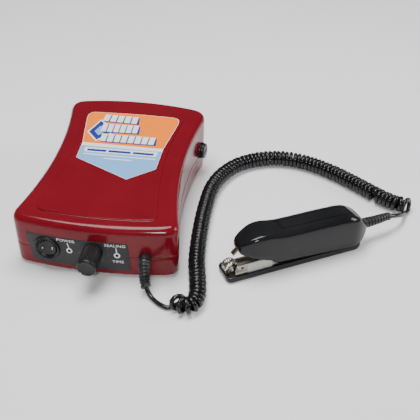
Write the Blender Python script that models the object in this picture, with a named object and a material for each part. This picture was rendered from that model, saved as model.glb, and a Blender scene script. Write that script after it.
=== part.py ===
"""Hand-held ultrasonic film sealer: a power unit, a curly cord and a stapler-shaped sealing handset.

The power unit is a two-part moulded case with a waisted plan. Its front panel holds a rocker switch,
two lamps and a dial for the sealing time. The handset is a handle hinged to a lower arm: squeezing them
together brings the anvil wheel on the arm up against the blade of the ultrasonic horn in the handle.

Lengths are in millimetres and MM turns them into Blender's metres. The origin is the middle of the
power unit's underside on the surface that it stands on, +X points right seen from the front, +Y back
and +Z up. The handset has its own frame: s runs from its nose to its tail, t to its left and z up.
"""
import math

import bmesh
import bpy
from mathutils import Matrix, Vector

MM = 0.001
GAP = 0.3

# ---- power unit: the case ----
CASE_HALF_WIDTH = 75.0
CASE_HALF_DEPTH = 99.5
CASE_REAR_HALF_WIDTH = 69.6
CASE_REAR_DEPTH = 85.2
CASE_BULGE = 8.0
CASE_REAR_BULGE = 9.3
CASE_WAIST = 11.5
CASE_CORNER = 14.0
CASE_WALL = 2.5
CASE_DRAFT = 1.2
CASE_UNDERSIDE = 1.5
CASE_TOP = 51.5
TOP_SLOPE = 0.0508
TOP_EDGE_RADIUS = 7.0
LOW_EDGE_RADIUS = 3.0
PARTING_Z = 22.5
PARTING_CHAMFER = 0.4
SIDE_STEPS = 8
CORNER_STEPS = 5

# ---- power unit: the raised pad on top, and its label ----
PAD_RISE = 1.0
PAD_EDGE = 0.3
PAD_FRONT_INSET = 13.6
PAD_SIDE_INSET = 17.0
PAD_SIDE_TAPER = -1.2
PAD_BACK_Y = 69.5
PAD_BACK_BULGE = 8.0
PAD_CORNER = 9.0
LABEL_SIDES = [(-20.1, 37.9), (11.0, 38.6), (33.7, 42.2), (53.8, 45.1)]
LABEL_LEFT_LOW_Y = -12.9
LABEL_TIP = (14.9, -38.9)
LABEL_TOP_Y = 65.0
LABEL_THICKNESS = 0.3

# ---- power unit: fittings on the front; the dial sits a little higher than the rest ----
CONTROLS_Z = 24.0
KNOB_Z = 27.5
ROCKER_X = -40.5
POWER_LED_X = -20.6
KNOB_X = 0.8
TIME_LED_X = 21.0
CORD_EXIT_X = 44.6
PANEL_LEFT_TOP = -59.3
PANEL_LEFT_LOW = -54.8
PANEL_RIGHT_TOP = 30.4
PANEL_RIGHT_LOW = 32.6
PANEL_TOP_Z = 37.0
PANEL_LOW_Z = 7.4
PANEL_CORNER = 2.5
PANEL_FLANGE = 2.2
PANEL_PROUD = 0.25
ROCKER_TILT = 9.0
KNOB_RADIUS = 8.6
KNOB_LENGTH = 24.6
KNOB_FLUTES = 20

# ---- power unit: fittings on the side and back ----
FUSE_Y = 66.6
FUSE_Z = 25.0
FUSE_CAP_RADIUS = 7.6
INLET_X = 22.0
INLET_Z = 29.0
INLET_HALF_WIDTH = 13.8
INLET_HALF_HEIGHT = 10.0
INLET_DEPTH = 21.0
FOOT_PLACES = [(-50.0, -80.0), (50.0, -80.0), (-48.0, 66.0), (48.0, 66.0)]
SCREW_PLACES = [(-51.0, -60.0), (51.0, -60.0), (-51.0, 54.0), (51.0, 40.0)]
BOARD_Z = 10.0
BOARD_THICKNESS = 1.6

# ---- handset frame ----
HANDSET_ORIGIN = (110.7, -90.6, 0.0)
HANDSET_YAW = 31.0
HANDLE_WALL = 2.0
HANDLE_ROOF = 3.0
HANDLE_DOME = 0.3
ARM_HALF_WIDTH = 12.0
ARM_FRONT_S = -1.6
ARM_REAR_S = 132.0
ARM_WALL = 1.8
PIVOT_S = 121.0
PIVOT_Z = 9.5
PIN_RADIUS = 2.0
ANVIL_S = 5.0
ANVIL_Z = 10.1
ANVIL_RADIUS = 6.2
ANVIL_HALF_WIDTH = 4.5
STACK_Z = 27.0
STACK_RADIUS = 8.0
CHASSIS_Z = 15.5
CHASSIS_THICKNESS = 1.5
PLUNGER_S = 104.0
SPRING_S = 82.0
SPRING_BOTTOM_Z = 2.6
SPRING_TOP_Z = 15.1

# ---- cord ----
CABLE_DIAMETER = 4.1
COIL_DIAMETER = 14.5
COIL_Z = 7.3

# The handle's shape, each along s: its crown, where its sides turn into its shoulders, its lower edge,
# its half width, and how far its shoulders reach in.
HANDLE_CROWN = [(11.2, 33.2), (12.0, 34.8), (14.0, 36.6), (17.0, 38.4), (22.0, 40.8), (27.0, 42.2),
                (32.0, 42.7), (37.0, 42.7), (41.0, 42.4), (47.0, 41.9), (54.0, 41.6), (66.0, 41.4),
                (91.0, 41.0), (108.0, 40.3), (114.0, 39.5), (118.0, 38.4), (121.0, 37.0), (125.0, 34.6),
                (128.0, 32.2), (131.0, 29.0), (134.0, 25.4), (136.6, 22.2)]
HANDLE_SHOULDER = [(11.2, 31.4), (12.0, 32.4), (14.0, 33.7), (17.0, 35.2), (22.0, 37.0), (27.0, 38.0),
                   (32.0, 38.2), (37.0, 37.6), (41.0, 36.8), (47.0, 35.3), (54.0, 34.3), (78.0, 34.1),
                   (108.0, 33.6), (116.0, 33.0), (121.0, 29.8), (125.0, 26.8), (129.0, 23.8),
                   (133.0, 21.0), (136.6, 19.2)]
HANDLE_LOWER = [(11.2, 26.5), (12.8, 25.3), (20.0, 22.3), (36.0, 16.6), (40.5, 15.2), (42.5, 11.8),
                (66.0, 10.4), (90.0, 8.8), (118.0, 6.7), (125.0, 7.1), (131.0, 10.0), (134.5, 13.2),
                (136.6, 15.6)]
HANDLE_HALF_WIDTHS = [(11.2, 6.4), (12.2, 7.6), (14.0, 8.6), (17.0, 9.9), (20.0, 10.9), (24.0, 12.2),
                      (30.0, 13.3), (36.0, 13.6), (118.0, 13.6), (122.0, 13.4), (126.0, 12.5),
                      (129.0, 11.3), (132.0, 9.6), (134.5, 7.7), (136.6, 5.8)]
HANDLE_REACH = [(11.2, 1.8), (14.0, 3.0), (20.0, 4.0), (36.0, 4.2), (46.0, 6.5), (54.0, 7.4),
                (112.0, 7.4), (122.0, 6.6), (130.0, 4.6), (136.6, 2.8)]
HANDLE_STATIONS = [11.2, 11.5, 12.2, 13.4, 15.0, 18.0, 22.0, 27.0, 33.0, 38.0, 40.5, 42.5, 47.0, 51.0,
                   60.0, 72.0, 85.0, 100.0, 112.0, 117.0, 121.0, 125.0, 128.0, 131.0, 133.5, 135.4, 136.6]
ARM_LIP = [(-2.0, 5.6), (4.0, 6.0), (85.0, 6.2), (118.0, 5.2), (133.0, 5.0)]

# The route of the cord. The leads' points are (x, y, z), the coil's are (x, y) of its middle line.
LEAD_UNIT_ROUTE = [(49.4, -123.8, 7.2), (51.4, -126.6, 4.6), (54.9, -130.2, 2.6), (60.4, -135.0, 2.15),
                   (65.9, -138.4, 2.15), (70.0, -139.6, 2.15)]
COIL_ROUTE = [(77.0, -134.4), (79.6, -139.4), (85.5, -141.4), (91.0, -137.4), (93.0, -128.5), (91.8, -117.0),
              (88.8, -101.0), (85.6, -84.0), (83.3, -62.0), (81.9, -40.7), (81.0, -18.6), (81.0, 3.0),
              (82.0, 24.0), (85.4, 41.0), (91.1, 55.5), (98.9, 68.0), (108.8, 78.0), (128.5, 88.6),
              (151.0, 91.6), (174.8, 86.2), (198.4, 74.0), (221.4, 57.6), (243.7, 40.4), (258.5, 31.4),
              (265.5, 30.6), (271.4, 28.4)]
LEAD_HANDSET_ROUTE = [(251.2, -2.7, 16.2), (256.5, 1.6, 14.2), (261.5, 8.0, 10.6), (265.3, 14.8, 6.6),
                      (267.2, 20.6, 3.9)]


# ---------------------------------------------------------------- numbers and curves

def hermite(table, x):
    """Read a smooth curve through the (x, y) pairs of a table, flat beyond both ends."""
    if x <= table[0][0]:
        return table[0][1]
    if x >= table[-1][0]:
        return table[-1][1]
    slopes = []
    for before, here, after in zip(table[:1] + table, table, table[1:] + table[-1:]):
        slopes.append((after[1] - before[1]) / (after[0] - before[0]))
    for index in range(len(table) - 1):
        (x0, y0), (x1, y1) = table[index], table[index + 1]
        if x <= x1:
            span = x1 - x0
            u = (x - x0) / span
            rise = (y1 - y0) / span
            start = slopes[index] if slopes[index] * rise > 0 else 0.0
            end = slopes[index + 1] if slopes[index + 1] * rise > 0 else 0.0
            return (y0 * (2 * u**3 - 3 * u**2 + 1) + y1 * (3 * u**2 - 2 * u**3)
                    + span * (start * (u**3 - 2 * u**2 + u) + end * (u**3 - u**2)))
    return table[-1][1]


def linear(table, x):
    """Read the straight lines through the (x, y) pairs of a table."""
    for (x0, y0), (x1, y1) in zip(table, table[1:]):
        if x <= x1:
            return y0 + (y1 - y0) * (x - x0) / (x1 - x0)
    return table[-1][1]


def smooth_route(points, steps):
    """Run a Catmull-Rom curve through the points and return steps points on each stretch."""
    knots = [Vector(p) for p in points]
    knots = [2 * knots[0] - knots[1]] + knots + [2 * knots[-1] - knots[-2]]
    route = []
    for a, b, c, d in zip(knots, knots[1:], knots[2:], knots[3:]):
        for k in range(steps):
            u = k / steps
            route.append(0.5 * (2 * b + (c - a) * u + (2 * a - 5 * b + 4 * c - d) * u**2
                                + (3 * b - a - 3 * c + d) * u**3))
    route.append(knots[-2])
    return route


def even_route(route, spacing):
    """Return points on the route that are about spacing apart, its two ends among them."""
    lengths = [0.0]
    for a, b in zip(route, route[1:]):
        lengths.append(lengths[-1] + (b - a).length)
    count = max(2, round(lengths[-1] / spacing))
    points = []
    leg = 0
    for k in range(count + 1):
        wanted = lengths[-1] * k / count
        while leg < len(route) - 2 and lengths[leg + 1] < wanted:
            leg += 1
        u = (wanted - lengths[leg]) / (lengths[leg + 1] - lengths[leg])
        points.append(route[leg].lerp(route[leg + 1], u))
    return points


# ---------------------------------------------------------------- frames

def frame(origin, x_axis, y_axis, z_axis):
    """Build the matrix whose local axes are the three given directions."""
    matrix = Matrix((x_axis, y_axis, z_axis)).transposed().to_4x4()
    matrix.translation = Vector(origin)
    return matrix


WORLD = Matrix.Identity(4)


def front_wall_y(x):
    """Return the y of the case's front edge at its widest height."""
    return -(CASE_HALF_DEPTH + CASE_BULGE * (1 - (x / CASE_HALF_WIDTH)**2))


def back_wall_y(x):
    """Return the y of the case's back edge at its widest height."""
    return CASE_REAR_DEPTH + CASE_REAR_BULGE * (1 - (x / CASE_REAR_HALF_WIDTH)**2)


def side_share(y):
    """Return where y is along the case's side, from -1 at the front corner to 1 at the back corner."""
    return (2 * y + CASE_HALF_DEPTH - CASE_REAR_DEPTH) / (CASE_HALF_DEPTH + CASE_REAR_DEPTH)


def side_wall_x(y):
    """Return the x of the case's right edge at its widest height."""
    u = side_share(y)
    straight = CASE_HALF_WIDTH + (CASE_REAR_HALF_WIDTH - CASE_HALF_WIDTH) * (u + 1) / 2
    return straight - CASE_WAIST * (1 - u**2)


def lift(y, z):
    """Return how much a point of the upper case is raised, because its top rises towards the back."""
    share = (z - PARTING_Z - 1.0) / (CASE_TOP - TOP_EDGE_RADIUS - PARTING_Z - 1.0)
    return TOP_SLOPE * (y + CASE_HALF_DEPTH) * min(1.0, max(0.0, share))


def wall_inset(z):
    """Return how far the drafted wall stands inside its widest contour at a height."""
    widest = CASE_TOP - TOP_EDGE_RADIUS
    return CASE_DRAFT * max(0.0, 1 - z / widest)


def front_frame(x, z):
    """Return a frame on the front wall: X to the right, Y up, Z out of the wall."""
    slope = 2 * CASE_BULGE * x / CASE_HALF_WIDTH**2
    right = Vector((1.0, slope, 0.0)).normalized()
    out = Vector((right.y, -right.x, 0.0))
    origin = Vector((x, front_wall_y(x), z)) - out * wall_inset(z)
    return frame(origin, right, Vector((0, 0, 1)), out)


def side_frame(y, z):
    """Return a frame on the right wall: Y up, Z out of the wall."""
    taper = (CASE_REAR_HALF_WIDTH - CASE_HALF_WIDTH) / 2 + 2 * CASE_WAIST * side_share(y)
    slope = taper * 2 / (CASE_HALF_DEPTH + CASE_REAR_DEPTH)
    along = Vector((slope, 1.0, 0.0)).normalized()
    out = Vector((along.y, -along.x, 0.0))
    origin = Vector((side_wall_x(y), y, z)) - out * wall_inset(z)
    return frame(origin, along, Vector((0, 0, 1)), out)


def back_frame(x, z):
    """Return a frame on the back wall: X to the left seen from the front, Y up, Z out of the wall."""
    slope = -2 * CASE_REAR_BULGE * x / CASE_REAR_HALF_WIDTH**2
    along = -Vector((1.0, slope, 0.0)).normalized()
    out = Vector((along.y, -along.x, 0.0))
    origin = Vector((x, back_wall_y(x), z)) - out * wall_inset(z)
    return frame(origin, along, Vector((0, 0, 1)), out)


HANDSET = Matrix.Translation(HANDSET_ORIGIN) @ Matrix.Rotation(math.radians(HANDSET_YAW), 4, "Z")


def across_handset(s, z):
    """Return a frame in the handset whose Z runs across it, along t."""
    return HANDSET @ frame((s, 0, z), Vector((1, 0, 0)), Vector((0, 0, -1)), Vector((0, 1, 0)))


def along_handset(s, z):
    """Return a frame in the handset whose Z runs along it, from nose to tail."""
    return HANDSET @ frame((s, 0, z), Vector((0, 1, 0)), Vector((0, 0, 1)), Vector((1, 0, 0)))


# ---------------------------------------------------------------- solids

def loft(rings, looped=False):
    """Skin rings of equal length into one closed body, capped at both ends or closed into a loop."""
    bm = bmesh.new()
    rows = [[bm.verts.new(point) for point in ring] for ring in rings]
    pairs = list(zip(rows, rows[1:]))
    if looped:
        pairs.append((rows[-1], rows[0]))
    for lower, upper in pairs:
        for k in range(len(lower)):
            following = (k + 1) % len(lower)
            bm.faces.new((lower[k], lower[following], upper[following], upper[k]))
    if not looped:
        bm.faces.new(list(reversed(rows[0])))
        bm.faces.new(rows[-1])
    bmesh.ops.recalc_face_normals(bm, faces=bm.faces)
    return bm


def circle(radius, height, sides, squash=1.0):
    """Return a ring of points round the local Z axis."""
    return [Vector((radius * math.cos(2 * math.pi * k / sides),
                    radius * squash * math.sin(2 * math.pi * k / sides), height)) for k in range(sides)]


def turned(profile, sides=24, looped=False):
    """Turn a profile of (radius, height) pairs round the local Z axis."""
    return loft([circle(radius, height, sides) for radius, height in profile], looped)


def block(low, high):
    """Make a box from its lowest and highest corners."""
    rings = []
    for z in (low[2], high[2]):
        rings.append([Vector((low[0], low[1], z)), Vector((high[0], low[1], z)),
                      Vector((high[0], high[1], z)), Vector((low[0], high[1], z))])
    return loft(rings)


def prism(outline, low, high):
    """Extrude a flat outline of (x, y) points from one height to another."""
    return loft([[Vector((x, y, z)) for x, y in outline] for z in (low, high)])


def rounded_rectangle(half_width, half_height, radius, steps=3):
    """Return the outline of a rectangle with round corners."""
    points = []
    for turn, (cx, cy) in enumerate(((1, 1), (-1, 1), (-1, -1), (1, -1))):
        for k in range(steps + 1):
            angle = math.pi / 2 * (turn + k / steps)
            points.append((cx * (half_width - radius) + radius * math.cos(angle),
                           cy * (half_height - radius) + radius * math.sin(angle)))
    return points


def sleeve(route, radii, sides):
    """Skin round rings along a route, one radius for each of its points."""
    rings = []
    normal = None
    for index, point in enumerate(route):
        before = route[max(0, index - 1)]
        after = route[min(len(route) - 1, index + 1)]
        tangent = (after - before).normalized()
        if normal is None:
            normal = tangent.orthogonal().normalized()
        normal = (normal - tangent * normal.dot(tangent)).normalized()
        other = tangent.cross(normal)
        ring = []
        for k in range(sides):
            angle = 2 * math.pi * k / sides
            ring.append(point + radii[index] * (math.cos(angle) * normal + math.sin(angle) * other))
        rings.append(ring)
    return loft(rings)


# ---------------------------------------------------------------- objects

PARENTS = {}


def clear_scene():
    for item in list(bpy.data.objects):
        bpy.data.objects.remove(item, do_unlink=True)


def material(name, colour, roughness, metallic=0.0):
    """Return a Principled material."""
    made = bpy.data.materials.new(name)
    made.use_nodes = True
    shader = made.node_tree.nodes["Principled BSDF"]
    shader.inputs["Base Color"].default_value = (*colour, 1.0)
    shader.inputs["Roughness"].default_value = roughness
    shader.inputs["Metallic"].default_value = metallic
    made.diffuse_color = (*colour, 1.0)
    return made


def metres(matrix):
    """Turn a frame in millimetres into one in metres."""
    scaled = matrix.copy()
    scaled.translation = matrix.translation * MM
    return scaled


def add_empty(name, matrix, parent=None):
    """Add an empty that parts hang on, with its Z on a joint's axis where it has one."""
    empty = bpy.data.objects.new(name, None)
    bpy.context.collection.objects.link(empty)
    place(empty, matrix, parent)
    return empty


def place(item, matrix, parent):
    """Put an object at a frame, under an optional parent."""
    world = metres(matrix)
    PARENTS[item.name] = world
    if parent is None:
        item.matrix_basis = world
        return
    item.parent = parent
    item.matrix_basis = PARENTS[parent.name].inverted() @ world


def mesh_from(bm, name):
    """Write a bmesh in millimetres to a mesh in metres."""
    bmesh.ops.scale(bm, vec=(MM, MM, MM), verts=bm.verts)
    mesh = bpy.data.meshes.new(name)
    bm.to_mesh(mesh)
    bm.free()
    return mesh


def add_part(name, bm, matrix, finish, parent=None, sharp_angle=35.0):
    """Add one named sub-part, shaded smooth except at its sharp edges."""
    mesh = mesh_from(bm, name)
    mesh.materials.append(finish)
    mesh.shade_smooth()
    mesh.set_sharp_from_angle(angle=math.radians(sharp_angle))
    part = bpy.data.objects.new(name, mesh)
    bpy.context.collection.objects.link(part)
    place(part, matrix, parent)
    return part


def combine(part, bm, matrix, operation):
    """Cut a tool out of a part, or join it on, and keep the result as the part's mesh."""
    tool = bpy.data.objects.new("tool", mesh_from(bm, "tool"))
    bpy.context.collection.objects.link(tool)
    tool.matrix_basis = metres(matrix)
    step = part.modifiers.new("combine", "BOOLEAN")
    step.operation = operation
    step.solver = "EXACT"
    step.object = tool
    bpy.context.view_layer.update()
    graph = bpy.context.evaluated_depsgraph_get()
    result = bpy.data.meshes.new_from_object(part.evaluated_get(graph), depsgraph=graph)
    part.modifiers.clear()
    part.data = result
    result.shade_smooth()
    result.set_sharp_from_angle(angle=math.radians(35.0))
    bpy.data.objects.remove(tool, do_unlink=True)


def cut(part, bm, matrix=WORLD):
    combine(part, bm, matrix, "DIFFERENCE")


def join(part, bm, matrix=WORLD):
    combine(part, bm, matrix, "UNION")


def keep_inside(part, bm, matrix=WORLD):
    combine(part, bm, matrix, "INTERSECT")


# ---------------------------------------------------------------- power unit case

def rounded_outline(sides, corner, side_steps, corner_steps):
    """Sample four curved sides, counter-clockwise, and round the corners between them."""
    points = []
    for index, side in enumerate(sides):
        following = sides[(index + 1) % len(sides)]
        trim = corner / (side(1) - side(0)).length
        next_trim = corner / (following(1) - following(0)).length
        for k in range(side_steps + 1):
            points.append(side(trim + (1 - 2 * trim) * k / side_steps))
        start, tip, end = side(1 - trim), side(1), following(next_trim)
        for k in range(1, corner_steps):
            u = k / corner_steps
            points.append((1 - u)**2 * start + 2 * u * (1 - u) * tip + u**2 * end)
    return points


def offset_outline(points, inset):
    """Move a counter-clockwise outline inwards by a distance."""
    moved = []
    for index, point in enumerate(points):
        before = points[index - 1]
        after = points[(index + 1) % len(points)]
        along = (after - before).normalized()
        moved.append(point + Vector((-along.y, along.x)) * inset)
    return moved


def case_sides():
    """Return the four edges of the case in plan: bulging front and back, waisted sides."""
    def front(u):
        x = CASE_HALF_WIDTH * (2 * u - 1)
        return Vector((x, front_wall_y(x)))

    def right(u):
        y = (CASE_HALF_DEPTH + CASE_REAR_DEPTH) * u - CASE_HALF_DEPTH
        return Vector((side_wall_x(y), y))

    def back(u):
        x = CASE_REAR_HALF_WIDTH * (1 - 2 * u)
        return Vector((x, back_wall_y(x)))

    def left(u):
        point = right(1 - u)
        return Vector((-point.x, point.y))

    return [front, right, back, left]


def pad_sides():
    """Return the four edges of the raised pad on the case's top."""
    def half_width(y):
        return side_wall_x(y) - PAD_SIDE_INSET - PAD_SIDE_TAPER * y / PAD_BACK_Y

    front_y = front_wall_y(half_width(-CASE_HALF_DEPTH)) + PAD_FRONT_INSET
    back_y = PAD_BACK_Y - PAD_BACK_BULGE * (half_width(PAD_BACK_Y) / CASE_HALF_WIDTH)**2

    def front(u):
        x = half_width(front_y) * (2 * u - 1)
        return Vector((x, front_wall_y(x) + PAD_FRONT_INSET))

    def right(u):
        y = front_y + (back_y - front_y) * u
        return Vector((half_width(y), y))

    def back(u):
        x = half_width(back_y) * (1 - 2 * u)
        return Vector((x, PAD_BACK_Y - PAD_BACK_BULGE * (x / CASE_HALF_WIDTH)**2))

    def left(u):
        y = back_y + (front_y - back_y) * u
        return Vector((-half_width(y), y))

    return [front, right, back, left]


def case_ring(inset, z):
    outline = rounded_outline(case_sides(), CASE_CORNER, SIDE_STEPS, CORNER_STEPS)
    return [Vector((p.x, p.y, z + lift(p.y, z))) for p in offset_outline(outline, inset)]


def pad_ring(inset, z):
    outline = rounded_outline(pad_sides(), PAD_CORNER, SIDE_STEPS, CORNER_STEPS)
    return [Vector((p.x, p.y, z + lift(p.y, z))) for p in offset_outline(outline, inset)]


def make_top_shell(red):
    """The upper case half: drafted walls, a round top edge and a raised pad."""
    rim = PARTING_Z + GAP / 2
    widest = CASE_TOP - TOP_EDGE_RADIUS
    rings = [pad_ring(CASE_WALL, CASE_TOP + PAD_RISE - CASE_WALL),
             case_ring(TOP_EDGE_RADIUS + CASE_WALL, CASE_TOP - CASE_WALL - 0.4),
             case_ring(CASE_WALL + 1.4, widest + 2.2),
             case_ring(CASE_WALL, widest - 2.0),
             case_ring(wall_inset(rim) + CASE_WALL, rim),
             case_ring(wall_inset(rim) + PARTING_CHAMFER, rim),
             case_ring(wall_inset(rim), rim + PARTING_CHAMFER)]
    for k in range(6):
        angle = math.pi / 2 * k / 5
        rings.append(case_ring(TOP_EDGE_RADIUS * (1 - math.cos(angle)),
                               widest + TOP_EDGE_RADIUS * math.sin(angle)))
    rings += [pad_ring(0.0, CASE_TOP),
              pad_ring(0.1, CASE_TOP + PAD_RISE - PAD_EDGE),
              pad_ring(0.1 + PAD_EDGE, CASE_TOP + PAD_RISE)]
    return add_part("top_shell", loft(rings), WORLD, red)


def make_bottom_shell(red):
    """The lower case half: a tray with a round lower edge."""
    rim = PARTING_Z - GAP / 2
    floor = CASE_UNDERSIDE + CASE_WALL
    rings = [case_ring(CASE_DRAFT + CASE_WALL + 0.8, floor),
             case_ring(CASE_DRAFT + CASE_WALL, floor + 0.8),
             case_ring(wall_inset(rim) + CASE_WALL, rim),
             case_ring(wall_inset(rim) + PARTING_CHAMFER, rim),
             case_ring(wall_inset(rim), rim - PARTING_CHAMFER)]
    low = CASE_UNDERSIDE + LOW_EDGE_RADIUS
    for k in range(4):
        angle = math.pi / 2 * k / 3
        rings.append(case_ring(wall_inset(low) + LOW_EDGE_RADIUS * (1 - math.cos(angle)),
                               low - LOW_EDGE_RADIUS * math.sin(angle)))
    return add_part("bottom_shell", loft(rings), WORLD, red)


def panel_outline(grow):
    """Return the front panel's outline in (x, z), grown all round by a distance."""
    corners = [Vector((PANEL_LEFT_LOW - grow, PANEL_LOW_Z - grow)),
               Vector((PANEL_RIGHT_LOW + grow, PANEL_LOW_Z - grow)),
               Vector((PANEL_RIGHT_TOP + grow, PANEL_TOP_Z + grow)),
               Vector((PANEL_LEFT_TOP - grow, PANEL_TOP_Z + grow))]
    points = []
    for index, tip in enumerate(corners):
        before = corners[index - 1]
        after = corners[(index + 1) % 4]
        radius = PANEL_CORNER + grow
        start = tip + (before - tip).normalized() * radius
        end = tip + (after - tip).normalized() * radius
        for k in range(4):
            u = k / 3
            points.append((1 - u)**2 * start + 2 * u * (1 - u) * tip + u**2 * end)
    return [(p.x, p.y) for p in points]


def panel_prism(grow):
    """Return the panel's outline extruded through the front wall, in a frame whose Y is world Z."""
    return prism(panel_outline(grow), CASE_HALF_DEPTH - 20.0, CASE_HALF_DEPTH + CASE_BULGE + 12.0)


FRONT_PRISM = frame((0, 0, 0), Vector((1, 0, 0)), Vector((0, 0, 1)), Vector((0, -1, 0)))


def front_skin(outer, inner):
    """Return a curved slab that follows the front wall, from outer to inner, both measured outwards."""
    rings = []
    left, right = PANEL_LEFT_TOP - 6.0, PANEL_RIGHT_LOW + 6.0
    for k in range(13):
        x = left + (right - left) * k / 12
        ring = []
        for depth, z in ((outer, 2.0), (outer, 43.0), (inner, 43.0), (inner, 2.0)):
            place_on_wall = front_frame(x, z)
            ring.append(place_on_wall @ Vector((0, 0, depth)))
        rings.append(ring)
    return loft(rings)


def make_front_panel(top_shell, bottom_shell, charcoal):
    """The dark panel: a curved plate in a window, held by a flange behind the wall."""
    for shell in (top_shell, bottom_shell):
        cut(shell, panel_prism(GAP), FRONT_PRISM)
    panel = add_part("front_panel", front_skin(PANEL_PROUD, -CASE_WALL - 0.8), WORLD, charcoal)
    keep_inside(panel, panel_prism(0.0), FRONT_PRISM)
    flange = add_part("flange", front_skin(-CASE_WALL - 0.6, -CASE_WALL - 2.2), WORLD, charcoal)
    keep_inside(flange, panel_prism(PANEL_FLANGE), FRONT_PRISM)
    step = panel.modifiers.new("flange", "BOOLEAN")
    step.operation = "UNION"
    step.solver = "EXACT"
    step.object = flange
    bpy.context.view_layer.update()
    graph = bpy.context.evaluated_depsgraph_get()
    joined = bpy.data.meshes.new_from_object(panel.evaluated_get(graph), depsgraph=graph)
    panel.modifiers.clear()
    panel.data = joined
    bpy.data.objects.remove(flange, do_unlink=True)
    for x, z, radius in ((ROCKER_X, CONTROLS_Z, 10.6), (POWER_LED_X, CONTROLS_Z, 1.9),
                         (KNOB_X, KNOB_Z, 4.3), (TIME_LED_X, CONTROLS_Z, 1.9)):
        cut(panel, turned([(radius, -12.0), (radius, 6.0)], 20), front_frame(x, z))
    panel.data.shade_smooth()
    panel.data.set_sharp_from_angle(angle=math.radians(35.0))
    return panel


def label_outline():
    """Return the label's outline: round upper corners, sides that follow the waist and a pointed lower edge."""
    right = [LABEL_SIDES[0]]
    right += [(y, linear(LABEL_SIDES, y)) for y in (-5.0, 11.0, 22.0, 33.7, 45.0, 55.0)]
    corner = [(y, x) for y, x in ((58.6, 45.1), (61.6, 44.0), (63.8, 41.8), (64.7, 38.8))]
    top = [(LABEL_TOP_Y + 0.4, 20.0), (LABEL_TOP_Y + 0.4, 0.0), (LABEL_TOP_Y - 0.5, -20.0)]
    left = [(y - 1.2, -x) for y, x in reversed(corner)]
    left += [(y, -linear(LABEL_SIDES, y)) for y in (53.0, 45.0, 33.7, 22.0, 11.0)] + [(LABEL_LEFT_LOW_Y, -38.0)]
    return [LABEL_TIP] + [(x, y) for y, x in right + corner + top + left]


def make_label(paper):
    """The printed label, a thin plate on the pad."""
    rings = []
    for height in (GAP, GAP + LABEL_THICKNESS):
        z = CASE_TOP + PAD_RISE + height
        rings.append([Vector((x, y, z + lift(y, CASE_TOP))) for x, y in label_outline()])
    return add_part("top_label", loft(rings), WORLD, paper)


# ---------------------------------------------------------------- power unit fittings

def make_rocker_switch(black, root):
    """A round two-way rocker switch: its body in the panel and its button on an upright axis."""
    wall = front_frame(ROCKER_X, CONTROLS_Z)
    proud = PANEL_PROUD + 2.5 * GAP
    profile = [(7.0, -9.0), (9.3, -8.0), (9.3, 1.5), (10.0, 2.4), (11.2, 2.2), (11.8, 1.5), (11.8, proud),
               (10.1, proud), (10.1, -15.0), (7.0, -15.0)]
    add_part("switch_body", turned(profile, 28), wall, black, root)
    axis = wall @ Matrix.Translation((0, 0, -2.6)) @ Matrix.Rotation(math.radians(-90), 4, "X")
    tilt = axis @ Matrix.Rotation(math.radians(ROCKER_TILT), 4, "Z")
    holder = add_empty("rocker_axis", tilt, root)
    upright = tilt @ Matrix.Rotation(math.radians(90), 4, "X")
    ball = 8.7
    rings = []
    for height in (-5.0, -3.0, 0.0, 2.4, 4.6):
        rings.append(circle(math.sqrt(ball**2 - height**2), height, 28))
    button = add_part("rocker_button", loft(rings), upright, black, holder)
    for side in (-1, 1):
        wedge = prism([(0.0, 3.3), (side * 12.0, 5.6), (side * 12.0, 9.0), (0.0, 9.0)], -12.0, 12.0)
        turn = frame((0, 0, 0), Vector((1, 0, 0)), Vector((0, 0, 1)), Vector((0, -1, 0)))
        cut(button, wedge, upright @ turn)
    return button


def make_time_dial(black, steel, brass, root):
    """The sealing-time dial: a fluted knob on the shaft of a potentiometer behind the panel."""
    wall = front_frame(KNOB_X, KNOB_Z)
    body = [(2.0, -6.4), (3.3, -5.9), (3.3, 4.2), (3.9, 4.2), (3.9, -5.3), (8.2, -5.3), (8.2, -13.0),
            (2.0, -13.0)]
    add_part("dial_pot_body", turned(body, 20), wall, steel, root)
    nut = add_part("dial_nut", turned([(6.1, 0.75), (6.1, 2.75)], 6), wall, brass, root)
    cut(nut, turned([(4.3, -1.0), (4.3, 5.0)], 16), wall)
    spin = add_empty("dial_axis", wall, root)
    add_part("dial_shaft", turned([(3.0, -5.2), (3.0, 14.6), (2.6, 15.0)], 16), wall, steel, spin)
    rings = [knob_ring(2.0, 15.6, False), knob_ring(3.3, 15.5, False), knob_ring(3.3, 5.4, False),
             knob_ring(6.6, 5.0, False), knob_ring(6.6, 0.9, False), knob_ring(7.2, 0.9, False),
             knob_ring(KNOB_RADIUS, 1.2, True), knob_ring(KNOB_RADIUS - 0.1, KNOB_LENGTH - 1.4, True),
             knob_ring(KNOB_RADIUS - 0.7, KNOB_LENGTH - 0.3, False),
             knob_ring(KNOB_RADIUS - 1.9, KNOB_LENGTH, False)]
    return add_part("time_dial", loft(rings), wall, black, spin)


def knob_ring(radius, height, fluted):
    """Return one ring of the knob, with shallow flutes where it is gripped."""
    ring = []
    for k in range(2 * KNOB_FLUTES):
        angle = math.pi * k / KNOB_FLUTES
        reach = radius - (0.5 if fluted and k % 2 else 0.0)
        ring.append(Vector((reach * math.cos(angle), reach * math.sin(angle), height)))
    return ring


def make_lamps(lens, root):
    """Two small lamps behind holes in the panel."""
    profile = [(1.9, -7.0), (1.9, -5.9), (1.5, -5.9), (1.5, 0.0), (1.2, 0.7), (0.5, 1.0)]
    for name, x in (("power_lamp", POWER_LED_X), ("sealing_lamp", TIME_LED_X)):
        add_part(name, turned(profile, 12), front_frame(x, CONTROLS_Z), lens, root)


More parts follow.
